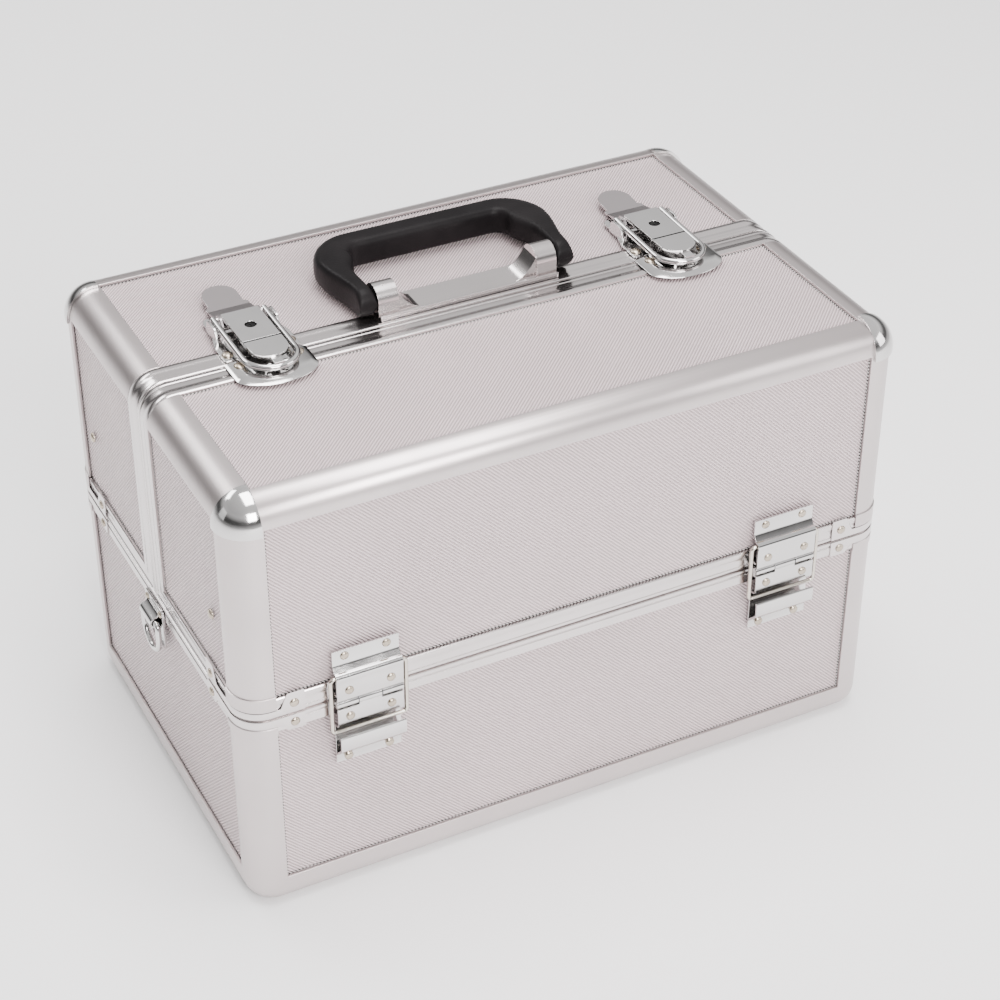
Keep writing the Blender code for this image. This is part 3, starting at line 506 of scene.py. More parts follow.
def rounded_outline(points, radii, steps=5):
    """The outline with each corner rounded by its own radius."""
    result = []
    count = len(points)
    for i, point in enumerate(points):
        p = Vector(point)
        a = (Vector(points[i - 1]) - p).normalized()
        b = (Vector(points[(i + 1) % count]) - p).normalized()
        r = radii[i] if isinstance(radii, (list, tuple)) else radii
        if r <= 0:
            result.append((p.x, p.y))
            continue
        half = math.acos(max(-1, min(1, a.dot(b)))) / 2
        reach = r / math.tan(half)
        start, stop = p + a * reach, p + b * reach
        for step in range(steps + 1):
            t = step / steps
            q = start * (1 - t) ** 2 + p * 2 * t * (1 - t) + stop * t ** 2
            result.append((q.x, q.y))
    return result


# Case body -------------------------------------------------------------------------------------------


def flatten_long_edges(bm, x, y, high, r):
    """The long top edges' section: squarer than a quarter circle, with flatter legs."""
    for vert in bm.verts:
        u, v = (abs(vert.co.y) - (y - r)) / r, (vert.co.z - (high - r)) / r
        if abs(vert.co.x) < x - r + 1e-6 and u > 1e-4 and v > 1e-4:
            grow = (u ** EDGE_POWER + v ** EDGE_POWER) ** (-1 / EDGE_POWER)
            vert.co.y = math.copysign(y - r + r * u * grow, vert.co.y)
            vert.co.z = high - r + r * v * grow


def rounded_case(inset, low, high, is_lid):
    """The case's outer form, inset, from low to high: round above as a lid or below as the base."""
    x, y, r = HL - inset, HW - inset, CORNER_R - inset
    bm = box((-x, x), (-y, y), (low, high))

    def upright(edge):
        return abs(edge.verts[0].co.z - edge.verts[1].co.z) > 1e-6

    def bevel(edges, offset, segments):
        bmesh.ops.bevel(bm, geom=edges, offset=offset, segments=segments, profile=0.5,
                        affect="EDGES", clamp_overlap=False)

    middle = (low + high) / 2
    bevel([e for e in bm.edges if upright(e) or (is_lid and e.verts[0].co.z > middle)], r, 12)
    if is_lid:
        flatten_long_edges(bm, x, y, high, r)
    else:
        bevel([e for e in bm.edges if all(v.co.z < low + 1e-6 for v in e.verts)], BOTTOM_R - inset, 8)
    return bm


def tidy_edges(bm, width, segments=2):
    """Rounds every sharp edge of a closed mesh a little."""
    bm.normal_update()
    sharp = [
        e for e in bm.edges
        if len(e.link_faces) == 2 and e.calc_face_angle(0) > math.radians(60)
    ]
    bmesh.ops.bevel(
        bm, geom=sharp, offset=width, segments=segments, profile=0.5, affect="EDGES", clamp_overlap=True
    )
    return bm


def frame_piece(name, body, outer, inner, windows, node):
    """An extrusion frame: the space between two case forms, with a window cut for each panel."""
    steps = [("DIFFERENCE", inner)] + [("DIFFERENCE", box(*window)) for window in windows]
    piece(name, combined(outer, steps), ALUMINIUM, body, (node,), soften=0.0003, limit=60)


def base_frame():
    x, y, far = HL - POST_W, HW - POST_W, 1
    frame_piece(
        "base_edge_frame", "base", rounded_case(0, 0, BASE_WALL_TOP, False),
        rounded_case(FRAME_T, FRAME_T, H, False),
        [((-x, x), (-far, far), (POST_W, far)), ((-far, far), (-y, y), (POST_W, far)),
         ((-x, x), (-y, y), (-far, POST_W))],
        "base_frame")


def lid_frame(side, word):
    x, top, far = HL - POST_W, H - TOP_EDGE_W, 1
    edge = side * (CENTRE_RIM_W + SPLIT_GAP / 2)
    frame_piece(
        f"{word}_lid_edge_frame", f"{word}_lid", rounded_case(0, LID_WALL_BOTTOM, H, True),
        rounded_case(FRAME_T, 0, H - FRAME_T, True),
        [((-far, far), (-side, edge), (0, far)), ((-x, x), (0, side), (0, top)),
         ((-x, x), (0, side * (HW - TOP_EDGE_W)), (0, far)),
         ((-far, far), (0, side * (HW - POST_W)), (0, top))],
        f"{word}_lid_frame")


def turns(corners, r, steps, sweep_angle):
    """Points and outward directions of quarter turns about (x, y, start angle) corners."""
    points = []
    for cx, cy, start in corners:
        for step in range(steps + 1):
            a = math.radians(start + sweep_angle * step / steps)
            way = Vector((math.cos(a), math.sin(a)))
            points.append((Vector((cx, cy)) + way * r, way))
    return points


def round_walk(x, y, r, steps):
    """All round a rounded rectangle of half sizes x and y."""
    x, y = x - r, y - r
    return turns(((x, y, 0), (-x, y, 90), (-x, -y, 180), (x, -y, 270)), r, steps, 90)


def half_walk(side, x, y, r, steps):
    """Round one lid's half, from the left end to the right."""
    points = turns(((r - x, y - r, 180), (x - r, y - r, 90)), r, steps, -90)
    return [(Vector((p.x, side * p.y)), Vector((way.x, side * way.y))) for p, way in points]


def spaced(points, spacing, closed=False):
    """Points close together along a walk, each with its direction and distance, and the length."""
    track, total = [], 0.0
    ends = points[1:] + (points[:1] if closed else [])
    for (point, way), (after, after_way) in zip(points, ends):
        length = (after - point).length
        count = max(1, int(round(length / spacing)))
        for k in range(count):
            t = k / count
            track.append((point.lerp(after, t), way.lerp(after_way, t).normalized(), total + length * t))
        total += length
    return track, total


BASE_RIM = [
    (0, -0.0009), (0.00025, -0.0003), (0.0009, 0), (0.0022, 0), (0.0026, -0.0003), (0.0031, -0.0003),
    (0.0034, 0), (0.0080, 0), (0.0085, -0.0004), (0.0085, -0.0050), (0, -0.0050),
]
LID_RIM = [
    (0, -0.0009), (0.00025, -0.0003), (0.0008, 0), (0.0021, 0), (0.0024, -0.0003), (0.0029, -0.0003),
    (0.0033, -0.0002), (0.0053, -0.0004), (0.0072, -0.0002), (0.0076, 0), (0.0103, 0), (0.0108, -0.0004),
    (0.0108, -0.0050), (0, -0.0050),
]


def base_rim():
    """The pale band round the base's mouth, with its groove."""
    top = SPLIT_Z - SPLIT_GAP
    stations = [((*at, top), (0, 0, -1), (*out, 0)) for at, out in round_walk(HL, HW, CORNER_R, 12)]
    piece("base_rim_band", sweep(stations, BASE_RIM, closed=True), BRIGHT, "base",
          ("base_rim",), smooth=38)


def mouth_path(side):
    """Stations round a lid's mouth: along the bottom, then up one end, over the top and down."""
    low, y = SPLIT_Z + SPLIT_GAP, side * SPLIT_GAP / 2
    lean = CENTRE_RIM_W / LID_RIM_H
    up, inward = Vector((0, 0, 1)), Vector((0, side * lean, 0))
    stations = [((-HL, y, low), up + inward, (-1, 0, 0))]
    stations += [((*at, low), up, (*out, 0)) for at, out in half_walk(side, HL, HW, CORNER_R, 12)]
    stations.append(((HL, y, low), up + inward, (1, 0, 0)))
    x, z = HL - CORNER_R, H - CORNER_R
    for at, out in turns(((x, z, 0), (-x, z, 90)), CORNER_R, 12, 90):
        stations.append(((at.x, y, at.y), inward, (out.x, 0, out.y)))
    return stations


def lid_rim(side, word):
    bm = sweep(mouth_path(side), LID_RIM, closed=True)
    piece(f"{word}_lid_rim_band", bm, BRIGHT, f"{word}_lid", (f"{word}_lid_rim",), smooth=38)


def tab_steps(reach):
    """Along one arm of a corner plate: how far out, and the share of the tab's height there."""
    start = reach + (TAB_W - TAB_SLOPE)
    return [(reach, 1), (reach + 0.0008, 1)] + [
        (start + k * 0.00075, 1 - smooth_step(k / 6)) for k in range(7)
    ]


def rim_corner(side, end, top, tab_h, dip_h, upward, word, body):
    """A pressed plate that wraps a rim's corner: tall riveted tabs joined by a lower band."""
    hand = "left" if end < 0 else "right"
    reach_x, reach_y, t = HL - 0.0325, HW - 0.0440, TAB_T
    walk = half_walk(side, HL, HW, CORNER_R, 12)
    corner = [p for p in walk if p[0].x * end > HL - CORNER_R - 1e-6]
    if end < 0:
        corner.reverse()
    track = [((end * along, side * HW), (0, side), share) for along, share in tab_steps(reach_x)]
    track += [(at, out, 0) for at, out in corner]
    track += [((end * HL, side * along), (end, 0), share) for along, share in reversed(tab_steps(reach_y))]
    lower = [(0.0004, 0.0001), (0.0004, t * 0.6), (0.0012, t)]
    upper = [(-0.0007, t), (0, t * 0.6), (0, 0.0001)]
    bm = bmesh.new()
    rings = []
    for at, out, share in track:
        height = dip_h + (tab_h - dip_h) * share
        section = lower + [(height + a, b) for a, b in upper]
        rings.append([
            bm.verts.new((at[0] + out[0] * b, at[1] + out[1] * b, top + upward * a)) for a, b in section
        ])
    skin(bm, rings)
    bm.faces.new(rings[0])
    bm.faces.new(list(reversed(rings[-1])))
    piece(f"{word}_corner_plate_{hand}", bm, BRIGHT, body, smooth=40)

    lead = ((end * (HL - POST_W), side * HW), (0, side))
    tail = ((end * HL, side * (HW - POST_W)), (end, 0))
    band = [((*at, top), (0, 0, upward), (*out, 0)) for at, out in [lead, *corner, tail]]
    start, stop = dip_h + 0.0003, abs((LID_WALL_BOTTOM if upward > 0 else BASE_WALL_TOP) - top)
    profile = [(start, 0.0001), (start, 0.0003), (start + 0.0003, t), (stop + 0.0012, t),
               (stop + 0.0014, 0.0001)]
    piece(f"{word}_post_foot_{hand}", sweep(band, profile), ALUMINIUM, body, smooth=30)
    z, inset = top + upward * tab_h * 0.5, 0.0055
    return [
        rivet((end * (reach_x + inset), side * (HW + t), z), (0, side, 0), 0.0024, 0.0012),
        rivet((end * (HL + t), side * (reach_y + inset), z), (end, 0, 0), 0.0024, 0.0012),
    ]


def smooth_step(value):
    value = min(1.0, max(0.0, value))
    return value * value * (3 - 2 * value)


def corner_cap(side, end, word):
    """A ball corner with a rolled edge."""
    hand = "left" if end < 0 else "right"
    centre = Vector((end * (HL - CORNER_R), side * (HW - CORNER_R), H - CORNER_R))
    over, far = 0.0014, 0.1

    def sphere(radius):
        bm = bmesh.new()
        bmesh.ops.create_uvsphere(bm, u_segments=64, v_segments=32, radius=radius,
                                  matrix=Matrix.Translation(centre))
        return bm

    window = box(*[(c - way * over, c + way * far) for c, way in zip(centre, (end, side, 1))])
    steps = [("DIFFERENCE", sphere(CORNER_R + 0.0002)), ("INTERSECT", window)]
    piece(f"{word}_ball_corner_{hand}", combined(sphere(CORNER_R + 0.0016), steps), CHROME,
          f"{word}_lid", (f"{word}_corner_cap_{hand}",), soften=0.00035, steps=3, limit=60)


def panels():
    """The CAD shells keep their shapes: embossed laminate outside, black board inside."""
    for name in ("base_shell", "front_lid_shell", "rear_lid_shell"):
        mesh = NODES[name].data
        mesh.materials.clear()
        mesh.materials.append(PANEL)
        mesh.materials.append(BOARD)
        for face in mesh.polygons:
            at, way = face.center, face.normal
            inside_x = abs(at.x) < HL - 0.0035 or way.x * at.x < 0
            inside_y = abs(at.y) < HW - 0.0035 or way.y * at.y < 0
            if inside_x and inside_y and 0.0030 < at.z < H - 0.0030:
                face.material_index = 1


# Rivets and linings ----------------------------------------------------------------------------------


def rivets(word, body, heads):
    piece(f"{word}_rivets", join(*heads), NICKEL, body, smooth=45)


def lining_track(side):
    """A lid's inner wall in plan: points, outward directions and distances, and the last distance."""
    x, y, near = HL - WALL_T - SEAT, HW - WALL_T - SEAT, SPLIT_GAP + 0.0012
    first = (Vector((-x, side * near)), Vector((-1, 0)))
    last = (Vector((x, side * near)), Vector((1, 0)))
    track, total = spaced([first, *half_walk(side, x, y, CORNER_R - WALL_T, 8), last], 0.00065)
    return track + [(*last, total)], total


def rib(turn):
    """How far the lining stands off its wall, with one rib for each pi of turn."""
    return SEAT + 0.0006 * math.sqrt(abs(math.sin(turn)))


def lid_lining(side, word):
    """The ribbed cloth inside a lid: a wall that turns over at its top, and a flat top."""
    r = CORNER_R - WALL_T
    low, top = SPLIT_Z + SPLIT_GAP + 0.0012, H - WALL_T - SEAT
    track, run = lining_track(side)
    bm = bmesh.new()
    rows = []
    for point, out, distance in track:
        lift = rib(math.pi * distance / RIB_PITCH)
        row = [bm.verts.new((*(point - out * lift), z)) for z in (low, top - r)]
        for step in range(1, 7):
            a = math.radians(90 * step / 6)
            at = point - out * (r - (r - lift) * math.cos(a))
            row.append(bm.verts.new((*at, top - r + (r - lift) * math.sin(a))))
        rows.append(row)
    skin(bm, rows, around=False)
    x, y, near = HL - WALL_T - SEAT - r, HW - WALL_T - SEAT - r, SPLIT_GAP + 0.0012
    count = int(2 * x / RIB_PITCH) * 6
    rows = []
    for i in range(count + 1):
        px, z = (2 * i / count - 1) * (x + 0.0004), top - rib(math.pi * i / 6)
        rows.append([bm.verts.new((px, side * py, z)) for py in (near, y + 0.0004)])
    skin(bm, rows, around=False)
    cloth = piece(f"{word}_lid_lining", bm, STRIPES, f"{word}_lid", smooth=60)
    shell = cloth.modifiers.new("thickness", "SOLIDIFY")
    shell.thickness = 0.0003
    shell.offset = 0


def seam_strips():
    """The beaded strip that frames every panel, dotted with painted shadow."""
    x_in, y_in = HL - POST_W, HW - POST_W
    y_face, x_face, z_face = HW - SEAM_DEPTH, HL - SEAM_DEPTH, H - SEAM_DEPTH
    base_z, lid_z = (POST_W, BASE_WALL_TOP), (LID_WALL_BOTTOM, H - TOP_EDGE_W)
    top_y, end_y = (CENTRE_RIM_W + SPLIT_GAP / 2, HW - TOP_EDGE_W), (CENTRE_RIM_W + SPLIT_GAP / 2, y_in)
    strips = {"base": [], "front": [], "rear": []}
    for side, word in SIDES:
        def long_wall(a, b, o, s=side):
            return a, s * (y_face + o), b

        strips["base"].append(ring_strip((-x_in, x_in), base_z, long_wall))
        strips[word].append(ring_strip((-x_in, x_in), lid_z, long_wall))
        strips[word].append(ring_strip((-x_in, x_in), top_y, lambda a, b, o, s=side: (a, s * b, z_face + o)))
        for end, _ in ENDS:
            strips[word].append(ring_strip(
                end_y, lid_z, lambda a, b, o, s=side, e=end: (e * (x_face + o), s * a, b)))
    for end, _ in ENDS:
        strips["base"].append(ring_strip(
            (-y_in, y_in), base_z, lambda a, b, o, e=end: (e * (x_face + o), a, b)))
    for word, parts in strips.items():
        body = "base" if word == "base" else f"{word}_lid"
        # these strips carry the painted shadow dots along every frame edge
        piece(f"{word}_panel_seams", join(*parts), SEAM_SHADOW_DOTS, body, smooth=30)


def ring_strip(a_span, b_span, put):
    """A low flat band just inside a four-sided window; put places a point at an offset outwards."""
    bm = bmesh.new()
    rings = []
    for inset, offset in ((0, 0.0001), (0, SEAM_PROUD), (SEAM_W, SEAM_PROUD), (SEAM_W, 0.0001)):
        (a0, a1), (b0, b1) = ((lo + inset, hi - inset) for lo, hi in (a_span, b_span))
        rings.append([bm.verts.new(put(a, b, offset)) for a, b in ((a0, b0), (a1, b0), (a1, b1), (a0, b1))])
    skin(bm, rings, closed=True)
    return bm


# Hinges ----------------------------------------------------------------------------------------------

def strip(centre_line, thickness):
    """A closed profile of a bent strip: the centre line offset to both sides."""
    left, right = [], []
    for i, point in enumerate(centre_line):
        before = Vector(centre_line[max(0, i - 1)])
        after = Vector(centre_line[min(len(centre_line) - 1, i + 1)])
        way = (after - before).normalized()
        normal = Vector((-way.y, way.x))
        left.append(tuple(Vector(point) + normal * thickness / 2))
        right.append(tuple(Vector(point) - normal * thickness / 2))
    return left + list(reversed(right))


def hinge(side, end, word, hand):
    """A stop hinge: the upper leaf with its ridge, the lower with its pocket, and the wire bail."""
    x, half = end * HINGE_X, HINGE_W / 2
    face, axis, t = HW + SEAT, HW + AXIS_OUT, 0.0011
    mid, proud, knuckle = face + t / 2, HW + 0.0053, half * 0.37
    ridge = 0.0155

    def bent(points, inset=0.0, span=half):
        """A (y, z) profile with z above the split, mirrored to this side and swept along X."""
        return swept_x([(side * y, SPLIT_Z + z) for y, z in points], x - span + inset, x + span - inset)

    def barrel(low, high):
        return cylinder((x, side * axis, SPLIT_Z), (1, 0, 0), 0.0025, low, high, 24)

    upper = [(mid, 0.0298), (mid, ridge + 0.0062), (mid + 0.0006, ridge + 0.0050)]
    upper += arc((axis - 0.0002, ridge), 0.0025, 95, -35, 7)
    upper += [(proud, ridge - 0.0032), (proud, 0.0034)]
    upper += arc((axis, 0), 0.0021, 62, 140, 5)
    wall = [(face, 0.0042), (proud - 0.0004, 0.0036), (proud - 0.0004, 0.0046), (face, 0.0052)]
    parts = [bent(strip(upper, t)), bent(wall, 0.0004), barrel(-half, -knuckle), barrel(knuckle, half)]
    piece(f"{word}_stop_hinge_upper_{hand}", join(*parts), CHROME, f"{word}_lid",
          (f"{word}_hinge_lid_leaf_{hand}",), soften=0.0002, limit=50)

    pocket, middle = face + 0.0075, half * 0.345
    lower = [(mid, -0.0388), (mid, -0.0340), (mid + 0.0008, -0.0328), (pocket - 0.0013, -0.0282),
             (pocket, -0.0264), (pocket, -0.0202), (pocket - 0.0006, -0.0190)]
    back = [(mid, -0.0330), (mid, -0.0150), (mid + 0.0008, -0.0144), (proud - 0.0008, -0.0136),
            (proud, -0.0128), (proud, -0.0026)]
    web = [(face, -0.0036), (proud - 0.0004, -0.0026), (proud - 0.0004, -0.0036), (face, -0.0046)]
    neck = [(axis - 0.0006, -0.0016), (proud + 0.0005, -0.0010), (proud + 0.0005, -0.0030),
            (axis - 0.0006, -0.0030)]
    parts = [bent(strip(lower, t)), bent(strip(back, t * 0.9)), barrel(-middle, middle),
             bent(web, 0.0004), bent(neck, span=middle)]
    piece(f"{word}_stop_hinge_lower_{hand}", join(*parts), CHROME, "base",
          (f"{word}_hinge_base_leaf_{hand}",), soften=0.0002, limit=50)

    wire_r, r = 0.0011, 0.0022
    reach, high, low = 0.0418 / 2 - wire_r - r, SPLIT_Z + ridge - r, SPLIT_Z + ridge - 0.0330 + r
    path = []
    for cx, cz, start in ((reach, high, 0), (-reach, high, 90), (-reach, low, 180), (reach, low, 270)):
        path += [(px, side * axis, pz) for px, pz in arc((x + cx, cz), r, start, start + 90, 5)]
    piece(f"{word}_stop_hinge_bail_{hand}", wire(path, wire_r, closed=True), BAIL, f"{word}_bails",
          (f"{word}_hinge_bail_{hand}",), smooth=60)

    flat, stood = side * (face + t), side * (proud + t / 2)
    rows = ((0.0262, flat), (0.0082, stood), (-0.0078, stood), (-0.0364, flat))
    heads = [rivet((x + dx, out, SPLIT_Z + z), (0, side, 0), 0.0023, 0.0011)
             for z, out in rows for dx in (-0.011, 0.011)]
    return heads[:4], heads[4:]


# Latches ---------------------------------------------------------------------------------------------


def latch(end, hand):
    """The rear lid's half of a latch: its plate, lifting lever, wire loop and lock plate."""
    x, low = end * LATCH_X, H + SEAT
    right = [(0.0200, 0.0012), (0.0200, 0.0160), (0.0165, 0.0290), (0.0165, 0.0440)]
    outline = [(x - 0.0200, 0.0012)] + [(x + a, b) for a, b in right]
    outline += [(x - a, b) for a, b in reversed(right[1:])]
    radii = [0.0012, 0.0012, 0.004, 0.003, 0.004, 0.004, 0.003, 0.004]
    parts = [plate(rounded_outline(outline, radii), low, low + 0.0010)]
    ear = rounded_outline([(0.0186, low), (0.0345, low), (0.0330, EAR_TOP), (0.0230, EAR_TOP)],
                          [0, 0, 0.003, 0.003])
    parts += [swept_x(ear, x + way * 0.0160, x + way * 0.0172) for way in (-1, 1)]
    piece(f"latch_plate_{hand}", join(*parts), CHROME, "rear_lid", (f"latch_body_{hand}",),
          soften=0.00025)
    latch_lever(x, hand)
    latch_loop(x, hand)
    lock_plate(x, hand)
    return [rivet((x + dx, 0.0068, low + 0.0010), (0, 0, 1), 0.0029, 0.0014) for dx in (-0.0166, 0.0166)]


def latch_lever(x, hand):
    """The lever that lifts the hasp: a tab with a round end, its slope, cheeks and pin."""
    low, half, tip, bend = H + 0.0016, 0.0115, 0.0095, 0.0505
    tab = [(x - half, 0.0345), (x + half, 0.0345), (x + half, 0.0500), (x + tip, 0.0512)]
    tab += [(x + px, py) for px, py in arc((0, 0.0585), tip, 0, 180, 24)]
    tab += [(x - tip, 0.0512), (x - half, 0.0500)]
    shaped = plate(tab, low, low + 0.0013)
    for vert in shaped.verts:
        if vert.co.y > bend:
            vert.co.z += (vert.co.y - bend) * 0.10
    slope = [(0.0345, low), (0.0345, low + 0.0034), (0.0385, low + 0.0033), (0.0470, low + 0.0014),
             (0.0470, low)]
    parts = [shaped, swept_x(slope, x - half, x + half)]
    cheek = [(0.0266, 0.0020), (0.0358, 0.0020), (0.0350, 0.0084), (0.0292, 0.0084), (0.0266, 0.0050)]
    cheek = rounded_outline([(y, H + z) for y, z in cheek], [0.0008, 0, 0.0024, 0.0024, 0.0015])
    parts += [swept_x(cheek, x + way * 0.0100, x + way * 0.0113) for way in (-1, 1)]
    parts.append(cylinder((x, 0.028, H + 0.0034), (1, 0, 0), 0.0012, -0.0157, 0.0157, 16))
    piece(f"latch_lift_{hand}", join(*parts), SATIN, f"latch_lever_{hand}",
          (f"latch_lever_{hand}",), soften=0.00025)


def latch_loop(x, hand):
    """The hasp's wire loop, its cross rod and the tongue that reaches over the catch."""
    half, front, z, low = 0.0137, -0.0207, H + 0.0066, HASP_Z
    path = [(x + half, 0.0332, z), (x + half, 0.020, z - 0.0006)]
    path += [(px, py, z - 0.0012) for px, py in arc((x, front + half), half, 0, -180, 28)]
    path += [(x - half, 0.020, z - 0.0006), (x - half, 0.0332, z)]
    rod = cylinder((x, 0.032, z), (1, 0, 0), 0.0011, -half, half, 16)
    tongue = swept_x([(-0.0208, low - 0.0008), (-0.0100, low + 0.0002), (-0.0100, low + 0.0014),
                      (-0.0208, low + 0.0006)], x - 0.0026, x + 0.0026)
    piece(f"latch_loop_{hand}", join(wire(path, 0.0017, sides=16), rod, tongue), CHROME,
          f"latch_hasp_{hand}", (f"latch_hasp_{hand}",), soften=0.0002, limit=60)


def lock_plate(x, hand):
    """The rounded plate inside the loop, with its crease and keyhole; a black key barrel in the keyhole and
    a black strip in the crease are painted shade.
    """
    low, y_key, half = HASP_Z, 0.0165, 0.0100

    def block(reach, y, z0, z1):
        return box((x - reach, x + reach), y, (low + z0, low + z1))

    def turned(radius, start, stop):
        return cylinder((x, y_key, low), (0, 0, 1), radius, start, stop, 28)

    outline = rounded_outline([(x + half, 0.0320), (x - half, 0.0320)], 0)
    outline += [(x + px, py) for px, py in arc((0, -0.0060), half, 180, 360, 24)]
    cuts = [block(0.012, (0.0012, 0.0021), 0.0012, 0.01), turned(0.0030, 0.0004, 0.01)]
    body = combined(plate(outline, low, low + 0.0020), [("DIFFERENCE", cut) for cut in cuts])
    piece(f"latch_lock_plate_{hand}", body, CHROME, f"latch_hasp_{hand}", soften=0.0002, limit=50)
    slot = block(0.0004, (y_key - 0.0018, y_key + 0.0018), 0.0007, 0.01)
    barrel = combined(turned(0.0029, 0.00045, 0.0010), [("DIFFERENCE", slot)])
    # painted shade: the black key barrel in the keyhole and the black strip along the crease
    shade = block(0.0097, (0.00125, 0.00205), 0.0011, 0.00206)
    piece(f"latch_lock_painted_shade_{hand}", join(barrel, shade), LOCK_SHADE, f"latch_hasp_{hand}", smooth=40)


def keeper(end, hand):
    """The catch on the front lid: a dished plate whose front skirt slopes to the panel."""
    x, low, half = end * LATCH_X, H + SEAT, 0.0215

    def outline(reach, flat, centre, back):
        """A half-ellipse in front of a straight back edge."""
        curve = [(px, py * flat + centre) for px, py in arc((0, 0), reach, 0, -180, 28)]
        return [(reach, back), *curve, (-reach, back)]

    rim, crown = outline(half, 0.56, -0.0160, -0.0012), outline(half - 0.0030, 0.50, -0.0150, -0.0014)
    bm = bmesh.new()
    rings = [[bm.verts.new((x + px, py, low + z)) for px, py in points]
             for points, z in ((rim, 0), (rim, 0.0004), (crown, 0.0017))]
    bm.faces.new(rings[0])
    bm.faces.new(list(reversed(rings[-1])))
    skin(bm, rings)
    hook = [(-0.0174, low + 0.001), (-0.0150, low + 0.001), (-0.0150, H + 0.0058), (-0.0174, H + 0.0058)]
    hook = swept_x(rounded_outline(hook, [0, 0, 0.0009, 0.0009]), x - 0.0060, x + 0.0060)
    piece(f"latch_catch_{hand}", join(bm, hook), CHROME, "front_lid",
          (f"latch_keeper_{hand}",), soften=0.0002, limit=30)
    return [rivet((x + dx, -0.0062, low + 0.0017), (0, 0, 1), 0.0028, 0.0013) for dx in (-0.0156, 0.0156)]


# Handle ----------------------------------------------------------------------------------------------


def handle_bracket():
    """The handle's mount: a strip with a raised lip, and two round ears with ramps between them."""
    low, ear_r = H + SEAT, 0.0078
    right = [(EAR_OUT, 0.003), (EAR_OUT, 0.0215), (EAR_IN + 0.001, 0.0235)]
    outline = [(-EAR_OUT, 0.003)] + right + [(-a, b) for a, b in reversed(right[1:])]
    parts = [plate(rounded_outline(outline, [0.001, 0.001, 0.001, 0.002, 0.002, 0.001]), low, low + 0.0015)]
    lip = [(0.0032, low), (0.0032, low + 0.0026), (0.0045, low + 0.0026), (0.0054, low + 0.0014),
           (0.0054, low)]
    parts.append(swept_x(lip, -EAR_OUT, EAR_OUT))
    for end, _ in ENDS:
        ear = [(HANDLE_Y - ear_r, low), (HANDLE_Y + ear_r, low)]
        ear += arc((HANDLE_Y, HANDLE_Z), ear_r, 0, 180, 28)
        parts.append(swept_x(ear, end * EAR_IN, end * EAR_OUT))
        ramp = [(end * (EAR_IN + 0.001), low)]
        for step in range(9):
            t = step / 8
            ramp.append((end * (EAR_IN + 0.001 - 0.0150 * (1 - t)), low + 0.0012 + 0.0125 * t ** 2.2))
        stations = [((0, HANDLE_Y + y, 0), (1, 0, 0), (0, 0, 1)) for y in (-0.0068, 0.0068)]
        parts.append(sweep(stations, ramp))
    piece("handle_mount", join(*parts), BRIGHT, "rear_lid", ("handle_bracket",),
          soften=0.0005, steps=3, limit=50)


def handle_grip():
    """The moulded grip: a soft rectangular section swept round a D, with round feet."""
    near, corner, foot, thick = HANDLE_Y, 0.024, 0.0079, 0.0080
    half, far, bar, flare, turn_r = 0.066, 0.072, 0.0150, 0.0055, 0.0070
    inner, far_in, mid_z = EAR_OUT + 0.0006, far - bar, H + 0.0087
    pairs = []  # outer point, inner point and half thickness, from the right foot to the middle
    for angle in (86, 74, 60, 45, 30, 15, 0):
        a = math.radians(angle)
        y = near - foot * math.sin(a)
        pairs.append(((half - flare, y), (inner, y), foot * math.cos(a)))
    for share in (0.2, 0.4, 0.6, 0.8):
        outside = half - flare + flare * smooth_step(share)
        pairs.append(((outside, near + 0.033 * share), (inner, near + 0.018 * share), thick))
    outer_arc = arc((half - corner, far - corner - 0.0005), corner, 0, 90, 24)
    inner_run = [(inner - 0.0060 * smooth_step(k / 11), near + 0.018 + 0.0190 * k / 11) for k in range(12)]
    inner_run += arc((inner - 0.0060 - turn_r, far_in - turn_r), turn_r, 0, 90, 12)
    pairs += [(o, i, thick) for o, i in zip(outer_arc, inner_run)]
    last_outer, last_inner = pairs[-1][0], pairs[-1][1]
    for share in (0.15, 0.4, 0.7, 1.0):
        keep = 1 - share
        pairs.append(((last_outer[0] * keep, far - 0.0005), (last_inner[0] * keep, far_in), thick))
    pairs += [((-o[0], o[1]), (-i[0], i[1]), z) for o, i, z in reversed(pairs[:-1])]
    section = []
    for step in range(32):
        c, s = math.cos(2 * math.pi * step / 32), math.sin(2 * math.pi * step / 32)
        section.append((math.copysign(abs(c) ** 0.55, c), math.copysign(abs(s) ** 0.55, s)))
    stations = []
    for outer, inside, high in pairs:
        o, i = Vector((*outer, mid_z)), Vector((*inside, mid_z))
        stations.append(((o + i) / 2, (o - i) / 2, (0, 0, high)))
    parts = [sweep(stations, section)]
    for end, _ in ENDS:
        span = (end * (inner + 0.004), end * (EAR_IN + 0.002))
        parts.append(cylinder((0, near, HANDLE_Z), (1, 0, 0), 0.0026, *span, 18))
    piece("handle_hold", join(*parts), GRIP, "handle", ("handle_grip",), smooth=60)


# Rings -----------------------------------------------------------------------------------------------


